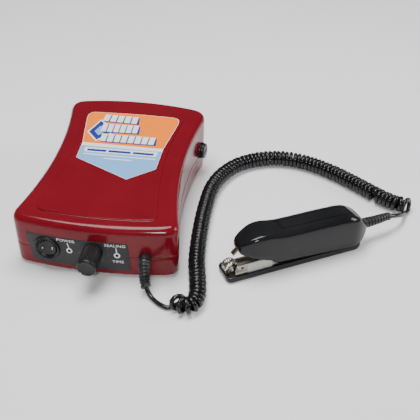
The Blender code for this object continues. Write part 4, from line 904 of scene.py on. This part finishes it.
def make_rocker():
    """The rocker switch: a round bezel with a deep well, and the button in it."""
    wall = front_frame(ROCKER_X, CONTROLS_Z)
    profile = [(6.0, -12.0), (8.5, -11.0), (8.5, 0.5), (8.6, 0.75), (8.9, 1.0), (10.3, 2.35), (10.7, 2.55),
               (11.1, 2.5), (11.5, 2.1), (11.75, 1.4), (11.8, 0.9), (11.8, 0.1), (10.1, -0.2), (10.1, -14.0),
               (6.0, -14.0)]
    add_piece("rocker_bezel", turned(profile, 64), wall, SWITCH_BLACK, "power_unit", ("switch_body",),
              55.0)
    axis = wall @ Matrix.Translation((0, 0, -2.6)) @ Matrix.Rotation(radians(-90), 4, "X")
    upright = axis @ Matrix.Rotation(radians(ROCKER_TILT), 4, "Z") @ Matrix.Rotation(radians(90), 4, "X")
    rings = []
    for radius, height in ((6.2, -5.0), (7.3, -3.0), (7.8, 0.0), (7.8, 1.6)):
        rings.append(circle(radius, height, 64))
    for share in (1.0, 0.985, 0.94, 0.85, 0.7, 0.5, 0.28, 0.08):
        ring = []
        for p in circle(7.75 * share, 0.0, 64):
            hollow = 0.034 * p.x * p.x
            drop = 0.0 if share < 0.95 else (share - 0.94) * 14.0
            ring.append(Vector((p.x, p.y, 3.5 + hollow - drop)))
        rings.append(ring)
    add_piece("rocker_cap", loft(rings), upright, SWITCH_BLACK, "rocker", ("rocker_button",),
              50.0)
    dot = prism(disc(-4.6, 0.0, 0.75, 14), 3.9, 4.28)
    add_piece("rocker_dot", dot, upright, WHITE, "rocker")
    bar = prism([(3.9, -1.3), (4.7, -1.3), (4.7, 1.3), (3.9, 1.3)], 3.7, 4.22)
    add_piece("rocker_bar", bar, upright, WHITE, "rocker")


def wavy_ring(radius, height, depth, waves, points_per_wave, sharpness=1.0):
    """Return a ring with even hollows of a depth all round it; sharpness narrows them."""
    points = []
    for k in range(points_per_wave * waves):
        angle = 2 * pi * k / (points_per_wave * waves)
        reach = radius - depth * (0.5 - 0.5 * cos(waves * angle))**sharpness
        points.append(Vector((reach * cos(angle), reach * sin(angle), height)))
    return points


def make_dial():
    """The fluted knob and its pointer dot."""
    wall = front_frame(KNOB_X, KNOB_Z)
    end = KNOB_LENGTH

    profile = [(3.4, 5.2, 0.0), (6.6, 5.0, 0.0), (6.6, 0.9, 0.0), (7.6, 0.9, 0.0), (8.3, 1.1, 0.0),
               (KNOB_RADIUS, 1.5, 0.2), (KNOB_RADIUS, 2.2, 0.62), (KNOB_RADIUS - 0.05, end - 2.6, 0.62),
               (KNOB_RADIUS - 0.1, end - 1.9, 0.35), (KNOB_RADIUS - 0.2, end - 1.4, 0.0),
               (KNOB_RADIUS - 0.45, end - 0.7, 0.0), (KNOB_RADIUS - 0.95, end - 0.2, 0.0),
               (KNOB_RADIUS - 1.6, end, 0.0), (6.3, end, 0.0), (6.1, end - 0.25, 0.0),
               (5.7, end - 0.4, 0.0), (2.0, end - 0.45, 0.0)]
    rings = [wavy_ring(*row, KNOB_FLUTES, 8, 2.5) for row in profile]
    add_piece("dial_knob", loft(rings), wall, SWITCH_BLACK, "knob", ("time_dial",), 42.0)
    spot = prism(disc(-4.9, -5.2, 0.6, 14), end - 0.3, end + 0.05)
    add_piece("dial_pointer", spot, wall, WHITE, "knob")


# ---- cord boots

def boot(points, start_radius, end_radius, ribs, head, tail, depth):
    """Return a drooping boot: a plain head, flat ribs with narrow grooves, and a ring at the tip."""
    route = even_route(smooth_route(points, 20), 0.16)
    lengths = lengths_along(route)
    total = lengths[-1]
    radii = []
    for length in lengths:
        taper = start_radius + (end_radius - start_radius) * length / total
        if length < head or length > total - tail:
            near_end = min(length, total - length)
            radii.append(taper - max(0.0, 0.5 - near_end)**2 * 1.6)
            continue
        phase = ((length - head) / (total - head - tail) * ribs) % 1.0
        far = abs(phase - 0.5)
        radii.append(taper - depth * max(0.0, min(1.0, (0.27 - far) / 0.12)))
    return route, radii


def boot_tip(lead):
    along = (Vector(lead[1]) - Vector(lead[0])).normalized()
    tip = Vector(lead[0]) - along * 0.2
    return tip, tip - along * 3.4


def make_boots():
    wall = front_frame(CORD_EXIT_X, PARTING_Z)
    tip, before_tip = boot_tip(LEAD_UNIT_ROUTE)
    points = [wall @ Vector((0, 0, -0.4)), wall @ Vector((0, 0, 2.4)), wall @ Vector((0, -1.2, 7.5)),
              Vector((46.4, -116.8, 17.0)), before_tip, tip]
    route, radii = boot(points, 5.55, 4.3, 9, 4.6, 1.9, 0.95)
    add_piece("unit_boot", sleeve(route, radii, 32), WORLD, BOOT_BLACK, "power_unit", ("unit_cord_boot",),
              60.0)
    tip, before_tip = [HANDSET.inverted() @ point for point in boot_tip(LEAD_HANDSET_ROUTE)]
    points = [Vector((135.6, 0.0, 18.6)), Vector((137.2, 0.0, 18.6)), Vector((146.0, 0.15, 18.6)),
              Vector((154.0, 0.9, 18.2)), before_tip, tip]
    route, radii = boot(points, 5.0, 3.6, 8, 2.6, 2.2, 0.9)
    add_piece("handset_boot", sleeve(route, radii, 32), HANDSET, BOOT_BLACK, "handle", ("handset_cord_boot",),
              60.0)


# ---- label

def label_slab(name, outline, level, finish, replaces=()):
    """Lay one flat shape of the print on the sloping pad; higher levels lie on lower ones."""
    rings = []
    for height in (0.01, 0.1):
        z = CASE_TOP + PAD_RISE + 0.05 * level + height
        rings.append([Vector((x, y, z + lift(y, CASE_TOP))) for x, y in outline])
    add_piece(name, loft(rings), WORLD, finish, "power_unit", replaces, sharp=30.0)


def label_outline(inset):
    """The label's outline, counter-clockwise from its point at the front, moved in by a distance."""
    right = [LABEL_SIDES[0]] + [(y, linear(LABEL_SIDES, y)) for y in (-5.0, 11.0, 22.0, 33.7, 45.0, 55.0)]
    corner = [(58.0, 45.15), (60.4, 44.7), (62.4, 43.6), (63.8, 41.8), (64.6, 39.6), (64.9, 37.0)]
    top = [(LABEL_TOP_Y + 0.3, 20.0), (LABEL_TOP_Y + 0.3, 0.0), (LABEL_TOP_Y - 0.5, -20.0)]
    left = [(y - 1.2, -x) for y, x in reversed(corner)]
    left += [(y, -linear(LABEL_SIDES, y)) for y in (53.0, 45.0, 33.7, 22.0, 11.0)]
    left.append((LABEL_LEFT_LOW_Y, -38.0))
    outline = [Vector(LABEL_TIP)] + [Vector((x, y)) for y, x in right + corner + top + left]
    return offset_outline(outline, inset)


def clip(outline, y, keep_above):
    """Keep the part of a closed outline on one side of a line across the label."""
    kept = []
    for (x0, y0), (x1, y1) in zip(outline, outline[1:] + outline[:1]):
        inside0 = y0 >= y if keep_above else y0 <= y
        inside1 = y1 >= y if keep_above else y1 <= y
        if inside0:
            kept.append((x0, y0))
        if inside0 != inside1:
            u = (y - y0) / (y1 - y0)
            kept.append((x0 + u * (x1 - x0), y))
    return kept


def lettering_blocks(name, corners, count, level):
    """A row of plain blocks in place of a word: corners run from its lower left end, counter-clockwise."""
    low_left, low_right, high_right, high_left = [Vector(corner) for corner in corners]
    drop = Vector((1.5, -1.5))
    back = [low_left + drop, low_right + drop, high_right + drop, high_left + drop * 0.6]
    label_slab(name + "_shadow", back, level, NAVY)
    for k in range(count):
        left, right, lean = (k + 0.03) / count, (k + 0.84) / count, 0.16 / count
        block_corners = [low_left.lerp(low_right, left), low_left.lerp(low_right, right),
                         high_left.lerp(high_right, right + lean), high_left.lerp(high_right, left + lean)]
        label_slab(f"{name}_block_{k}", block_corners, level + 1, WHITE)


def make_label():
    """The printed label: orange over pale blue, with plain blocks where the maker's words were."""
    label_slab("label_border", label_outline(0.0), 0, WHITE, ("top_label",))
    field = label_outline(0.4)
    label_slab("label_orange", clip(field, 11.5, True), 1, ORANGE)
    label_slab("label_blue", clip(field, 6.6, False), 1, BLUE)
    label_slab("label_strip", [(-33.3, -3.0), (33.9, -1.9), (34.9, 5.3), (-34.3, 4.0)], 2, WHITE)
    for index, (x0, x1) in enumerate(((-31.0, -13.0), (-11.0, 10.0), (12.0, 31.5))):
        low, high = -0.9 + 0.016 * x0, 2.4 + 0.016 * x0
        bar = [(x0, low), (x1, low + 0.3), (x1, high + 0.3), (x0, high)]
        label_slab(f"label_strip_bar_{index}", bar, 3, NAVY)
    for index, (x0, x1, y) in enumerate(((-32.9, 34.7, -7.0), (-12.6, 13.3, -11.8))):
        line = [(x0, y), (x1, y + 0.4), (x1, y + 1.9), (x0, y + 1.5)]
        label_slab(f"label_line_{index}", line, 2, WHITE)
    mark = [(-38.7, 28.9), (-26.7, 14.6), (-11.3, 34.2), (-30.6, 51.3)]
    centre = Vector((-26.6, 32.0))
    for level, share, finish in ((2, 1.0, WHITE), (3, 0.86, NAVY), (4, 0.44, BLUE)):
        points = [centre + (Vector(corner) - centre) * share for corner in mark]
        label_slab(f"label_mark_{level}", points, level, finish)
    lettering_blocks("label_row_1", [(-28.8, 49.3), (6.3, 48.3), (4.9, 59.8), (-29.1, 60.5)], 5, 4)
    lettering_blocks("label_row_2", [(-26.4, 31.0), (9.8, 32.6), (8.6, 45.4), (-27.7, 44.4)], 6, 5)
    lettering_blocks("label_row_3", [(-23.3, 15.6), (29.1, 16.4), (28.4, 28.0), (-24.8, 27.8)], 8, 4)


# ---- side and back fittings

def make_side_and_back():
    """The fuse holder's cap at the right, the mains inlet at the back, and the feet."""
    wall = right_frame(FUSE_Y, FUSE_Z)
    flange = [(5.0, -0.5), (8.2, -0.5), (8.2, 1.2), (7.9, 1.6), (5.0, 1.6)]
    ring = turned(flange)
    add_piece("fuse_flange", ring, wall, SWITCH_BLACK, "power_unit", ("fuse_holder",))
    r = FUSE_CAP_RADIUS
    cap = [(2.9, -5.0), (2.9, 1.9), (r, 1.9), (r, 3.7), (r - 0.25, 4.3), (r - 0.9, 4.7), (r - 2.0, 4.8)]
    lid = add_piece("fuse_lid", turned(cap), wall, SWITCH_BLACK, "power_unit", ("fuse_cap",))
    combine(lid, block((-5.6, -0.65, 3.7), (5.6, 0.65, 6.0)), wall)
    wall = back_frame(INLET_X, INLET_Z)
    outer = rounded_rectangle(INLET_HALF_WIDTH, INLET_HALF_HEIGHT, 2.0)
    inner = rounded_rectangle(12.0, 8.2, 2.6)
    flange = rounded_rectangle(INLET_HALF_WIDTH + 2.2, INLET_HALF_HEIGHT + 2.2, 2.6)
    lip = rounded_rectangle(INLET_HALF_WIDTH + 1.9, INLET_HALF_HEIGHT + 1.9, 2.4)
    mouth = rounded_rectangle(12.3, 8.5, 2.8)
    levels = [(inner, -16.0), (inner, 1.9), (mouth, 2.2), (lip, 2.2), (flange, 1.9), (flange, 0.2),
              (outer, 0.2), (outer, -21.0)]
    rings = [[Vector((x, y, z)) for x, y in outline] for outline, z in levels]
    add_piece("inlet_socket", loft(rings), wall, SWITCH_BLACK, "power_unit", ("mains_inlet",))
    profile = [(4.6, 0.0), (5.4, 0.1), (5.9, 0.4), (6.0, 0.8), (6.0, CASE_UNDERSIDE + 0.1)]
    for index, (x, y) in enumerate(FOOT_PLACES, 1):
        add_piece(f"rubber_foot_{index}", turned(profile, 36), Matrix.Translation((x, y, 0)), BOOT_BLACK,
                  "power_unit", (f"foot_{index}",))


# ---- handset

def handle_section(s, wall, roof, floor=None):
    """Return one cross-section of the handle: upright sides, round shoulders and a nearly flat top."""
    half = hermite(HANDLE_HALF_WIDTHS, s) - wall
    crown = hermite(HANDLE_CROWN, s) - roof
    shoulder = hermite(HANDLE_SHOULDER, s) - roof
    low = linear(HANDLE_LOWER, s) if floor is None else floor
    reach = min(hermite(HANDLE_REACH, s), half * 0.7)
    rise = crown - HANDLE_DOME - shoulder
    edge = 0.6 if floor is None else 0.0
    side = [(half - edge, low), (half - edge * 0.3, low + edge * 0.3), (half, low + edge)]
    for k in range(1, 4):
        side.append((half, low + edge + (shoulder - low - edge) * k / 4))
    for k in range(SHOULDER_STEPS + 1):
        angle = pi / 2 * k / SHOULDER_STEPS
        side.append((half - reach + reach * cos(angle), shoulder + rise * sin(angle)))
    flat = half - reach
    carved = floor is None
    band = band_depth(s) if carved else 0.0
    for share, sunk in ((0.985, 0), (0.97, 1), (0.9, 1), (0.885, 0), (0.7, 0), (0.45, 0), (0.2, 0)):
        drop = groove_depth(s) if sunk and carved else 0.0
        drop = max(drop, band if share < 0.98 else 0.0)
        side.append((flat * share, crown - HANDLE_DOME * share**2 - drop))
    side.append((0.0, crown - band))
    outline = side + [(-t, z) for t, z in reversed(side[:-1])]
    return [Vector((s, t, z)) for t, z in outline]


def groove_depth(s):
    """Return how deep the line round the top panel is at s."""
    return PANEL_GROOVE if PANEL_GROOVE_ENDS[0] < s < PANEL_GROOVE_ENDS[1] else 0.0


def band_depth(s):
    """Return how deep the two bands across the top are at s."""
    return BAND_DEPTH * max(max(0.0, min(1.0, (s - a) / BAND_EDGE, (b - s) / BAND_EDGE)) for a, b in BANDS)


def make_handle():
    """The handle's shell, open underneath, with a hood in front and a long panel let into its top."""
    stations = [11.2, 11.3, 11.5, 11.8, 12.2, 12.8, 13.4, 14.2, 15.0, 16.2, 17.6, 19.4, 21.5, 24.0, 27.0,
                30.0, 33.0, 36.0, 38.0, 39.6, 40.5, 41.5, 42.5, 44.0, 46.0, 47.0, 47.4, 47.6, 47.8, 49.4,
                51.0, 51.2, 51.4, 53.0, 56.0, 60.0, 66.0, 72.0, 80.0, 88.0, 96.0, 104.0, 108.0, 112.0,
                114.6, 115.6, 115.8, 116.0, 117.3, 118.6, 118.8, 119.0, 120.0, 121.5, 123.0, 124.5, 126.0,
                127.5, 129.0, 130.5, 132.0, 133.2, 134.3, 135.2, 136.0, 136.4, 136.6]
    skin = loft([handle_section(s, 0.0, 0.0) for s in stations])
    shell = add_piece("handle_cover", skin, HANDSET, HANDLE_BLACK, "handle",
                      ("handle_shell", "handle_top_panel"), 48.0)
    inner = [13.6, 15.5, 18.0, 23.0, 30.0, 37.0, 43.0, 51.0, 72.0, 100.0, 119.0, 126.0, 131.0, 134.4]
    hollow = loft([handle_section(s, HANDLE_WALL, HANDLE_ROOF, -4.0) for s in inner])
    combine(shell, hollow, HANDSET)
    along, up = tilted(BLADE_RISE)
    slot = axes_frame((7.0, 0, 22.5), along, Y_AXIS, up)
    combine(shell, block((-2.0, -3.3, -1.7), (13.0, 3.3, 1.9)), HANDSET @ slot)


def make_horn():
    """The horn: a round shank that narrows and turns down into a flat blade."""
    knots = [(7.0, 22.5, 2.5, 0.75, BLADE_RISE), (11.8, 27.0, 2.6, 0.95, 42.0), (15.2, 29.6, 2.7, 1.1, 30.0),
             (19.4, 30.8, 2.9, 1.4, 3.0), (24.0, 30.0, 3.6, 2.4, -16.0), (29.0, 28.3, 5.0, 4.4, -14.0),
             (33.0, 27.2, 6.6, 6.4, -6.0), (35.0, 27.0, 7.0, 7.0, 0.0), (44.0, 27.0, 7.0, 7.0, 0.0)]
    stations = [[p + (q - p) * k / 4 for p, q in zip(a, b)]
                for a, b in zip(knots, knots[1:]) for k in range(4)]
    rings = []
    for s, z, half_width, half_height, slope in stations + [knots[-1]]:
        up = tilted(slope)[1]
        square = 0.25 if half_height < 2.0 else min(1.0, 0.25 + (half_height - 2.0) * 0.25)
        ring = []
        for k in range(32):
            angle = 2 * pi * (k + 0.5) / 32
            c, n = cos(angle), sin(angle)
            ring.append(Vector((s, 0, z)) + Y_AXIS * copysign(abs(c)**square, c) * half_width
                        + up * copysign(abs(n)**square, n) * half_height)
        rings.append(ring)
    add_piece("horn_blade", loft(rings), HANDSET, STEEL, "handle", ("horn",), 40.0)


def arm_outline(inset):
    front, rear = ARM_FRONT_S + inset, ARM_REAR_S - inset
    half = ARM_HALF_WIDTH - inset
    small, large = 4.5 - inset * 0.5, 9.0 - inset * 0.5
    points = []
    corners = ((rear - large, half - large, large), (front + small, half - small, small),
               (front + small, small - half, small), (rear - large, large - half, large))
    for turn, (cx, cy, radius) in enumerate(corners):
        for k in range(11):
            angle = pi / 2 * (turn + k / 10)
            points.append(Vector((cx + radius * cos(angle), cy + radius * sin(angle), 0)))
        if turn in (0, 2):
            start = points[-1].x
            goal = front + small if turn == 0 else rear - large
            for k in range(1, 20):
                points.append(Vector((start + (goal - start) * k / 20, points[-1].y, 0)))
    return points


def arm_ring(inset, height):
    """Return a ring of the arm; its height is a number or a function of the place along it."""
    return [Vector((p.x, p.y, height(p.x) if callable(height) else height)) for p in arm_outline(inset)]


def make_arm():
    """The lower arm: a long tray with round edges, and ears round the pivot."""
    def lip(drop):
        return lambda s: linear(ARM_LIP, s) - drop

    def underside(s):
        return 0.9 if s > PIVOT_S else 0.0

    rings = [arm_ring(inset, height) for inset, height in (
        (ARM_WALL + 0.5, 2.0), (ARM_WALL, 2.5), (ARM_WALL, lip(0.4)), (ARM_WALL - 0.12, lip(0.12)),
        (ARM_WALL - 0.4, lip(0.0)), (0.5, lip(0.0)), (0.15, lip(0.15)), (0.0, lip(0.5)), (0.0, 1.8),
        (0.25, 0.9), (0.8, lambda s: underside(s) + 0.25), (1.4, underside))]
    arm = add_piece("arm_tray", loft(rings), HANDSET, BLACK, "jaw_arm", ("lower_arm",),
                    55.0)
    for side in (-1, 1):
        ear = [(112.0, 1.2), (127.0, 1.2), (127.0, 9.5), (125.6, 12.6), (122.8, 14.2), (119.2, 14.2),
               (116.4, 12.6), (114.4, 9.0)]
        combine(arm, prism(ear, side * 8.0 - 1.1, side * 8.0 + 1.1), UPRIGHT, "UNION")
    combine(arm, block((102.0, -3.0, 1.2), (106.0, 3.0, 13.0)), HANDSET, "UNION")


def make_bracket():
    """The metal bracket at the tip of the arm, with ears that hold the anvil wheel."""
    def section(s):
        flanges = [(-9.6, 2.3), (9.6, 2.3), (9.6, 7.4), (8.4, 7.4), (8.4, 3.5), (-8.4, 3.5), (-8.4, 15.8),
                   (-9.6, 15.8)]
        return [Vector((s, t, z)) for t, z in flanges]

    bracket = add_piece("bracket_plate", loft([section(6.4), section(48.0)]), HANDSET, STEEL, "jaw_arm",
                        ("anvil_bracket",))
    toe = [(0.7, -5.0), (1.0, -6.5), (1.8, -7.9), (3.2, -9.0), (5.0, -9.6), (12.0, -9.6)]
    toe += [(s, -t) for s, t in reversed(toe)]
    combine(bracket, prism(toe, 2.3, 3.5), HANDSET, "UNION")
    ear = [(1.8, 3.0), (8.2, 3.0)] + disc(ANVIL_S, ANVIL_Z, 3.2, 20)[:11]
    for side in (-1, 1):
        combine(bracket, prism(ear, side * 5.6 - 0.6, side * 5.6 + 0.6), UPRIGHT, "UNION")
    nose = [(5.0, 5.3), (8.0, 17.0), (5.0, 17.0)]
    tail = [(36.9, 17.0), (43.0, 9.5), (49.0, 6.0), (49.0, 17.0)]
    for corner in (nose, tail):
        combine(bracket, prism(corner, 8.0, 10.4), UPRIGHT)
    combine(bracket, turned([(1.3, 7.0), (1.3, 12.0)], 24), UPRIGHT @ Matrix.Translation((12.7, 12.4, 0)))
    step = bracket.modifiers.new("edge", "BEVEL")
    step.width = 0.25 * MM
    step.segments = 2
    step.limit_method = "ANGLE"
    step.angle_limit = radians(50.0)
    plate = [(17.8, 5.8), (41.6, 5.8), (40.6, 10.6), (37.0, 15.0), (17.8, 15.0)]
    add_piece("bracket_sticker", prism(plate, 9.62, 9.75), UPRIGHT, STICKER, "jaw_arm")


def make_anvil():
    """The knurled anvil wheel with a groove round its middle, on its pin."""
    axle = across_handset(ANVIL_S, ANVIL_Z)

    r = ANVIL_RADIUS
    outer = [(1.75, 4.5, 0.0), (r - 1.2, 4.5, 0.0), (r - 0.25, 4.2, 0.1), (r, 3.8, 0.35), (r, 1.0, 0.35),
             (r - 0.3, 0.75, 0.1), (r - 1.0, 0.55, 0.0)]
    profile = [(radius, -height, depth) for radius, height, depth in outer] + outer[::-1]
    rings = [wavy_ring(*row, 24, 4) for row in profile]
    wheel = loft(rings, looped=True)
    add_piece("anvil_roller", wheel, axle, CHROME, "anvil", ("anvil_wheel",), 30.0)
    pin = [(0.9, -7.3), (1.3, -7.15), (1.5, -6.8), (1.5, 6.8), (1.3, 7.15), (0.9, 7.3)]
    add_piece("anvil_axle", turned(pin, 24), axle, STEEL, "jaw_arm", ("anvil_pin",))


def make_spring_and_pins():
    turns, radius, wire = 4.5, 3.2, 0.45
    rise = SPRING_TOP_Z - SPRING_BOTTOM_Z - 2 * wire
    route = []
    for k in range(161):
        angle = 2 * pi * turns * k / 160
        height = SPRING_BOTTOM_Z + wire + rise * k / 160
        route.append(Vector((radius * cos(angle), radius * sin(angle), height)))
    spot = HANDSET @ Matrix.Translation((SPRING_S, 0, 0))
    spring = add_piece("opening_spring", sleeve(route, [wire] * len(route), 10), spot, STEEL, "handle",
                       ("return_spring",), sharp=80.0)
    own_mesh(spring)
    pin = [(1.6, -13.3), (1.9, -13.1), (2.0, -12.7), (2.0, 12.7), (1.9, 13.1), (1.6, 13.3)]
    hinge = across_handset(PIVOT_S, PIVOT_Z)
    add_piece("hinge_pin", turned(pin, 32), hinge, STEEL, "handle", ("pivot_pin",))


def finish_cad_nodes():
    """Give the inner CAD pieces their materials."""
    finishes = {
        STEEL: ("dial_pot_body", "dial_shaft", "inlet_pin_1", "inlet_pin_2", "inlet_pin_3", "heat_sink",
                "transformer_core", "case_screw_1", "case_screw_2", "case_screw_3", "case_screw_4",
                "handle_chassis", "transducer_front_mass", "transducer_back_mass", "clamp_bolt"),
        BRASS: ("dial_nut", "fuse"),
        COPPER: ("transformer_winding", "output_coil"),
        BOARD: ("main_board",),
        CERAMIC: ("piezo_ring_1", "piezo_ring_2"),
        SWITCH_BLACK: ("capacitor_1", "capacitor_2", "power_transistor_1", "power_transistor_2",
                       "trigger_switch"),
        AMBER: ("trigger_plunger",),
    }
    for finish, names in finishes.items():
        for name in names:
            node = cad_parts[name]
            node.data.materials.clear()
            node.data.materials.append(finish)


for make in (make_camera, make_cord, make_floor, make_lights, make_case, make_front_panel, make_panel_print,
             make_lamps, make_rocker, make_dial, make_boots, make_label, make_side_and_back, make_handle,
             make_horn, make_arm, make_bracket, make_anvil, make_spring_and_pins, finish_cad_nodes):
    make()
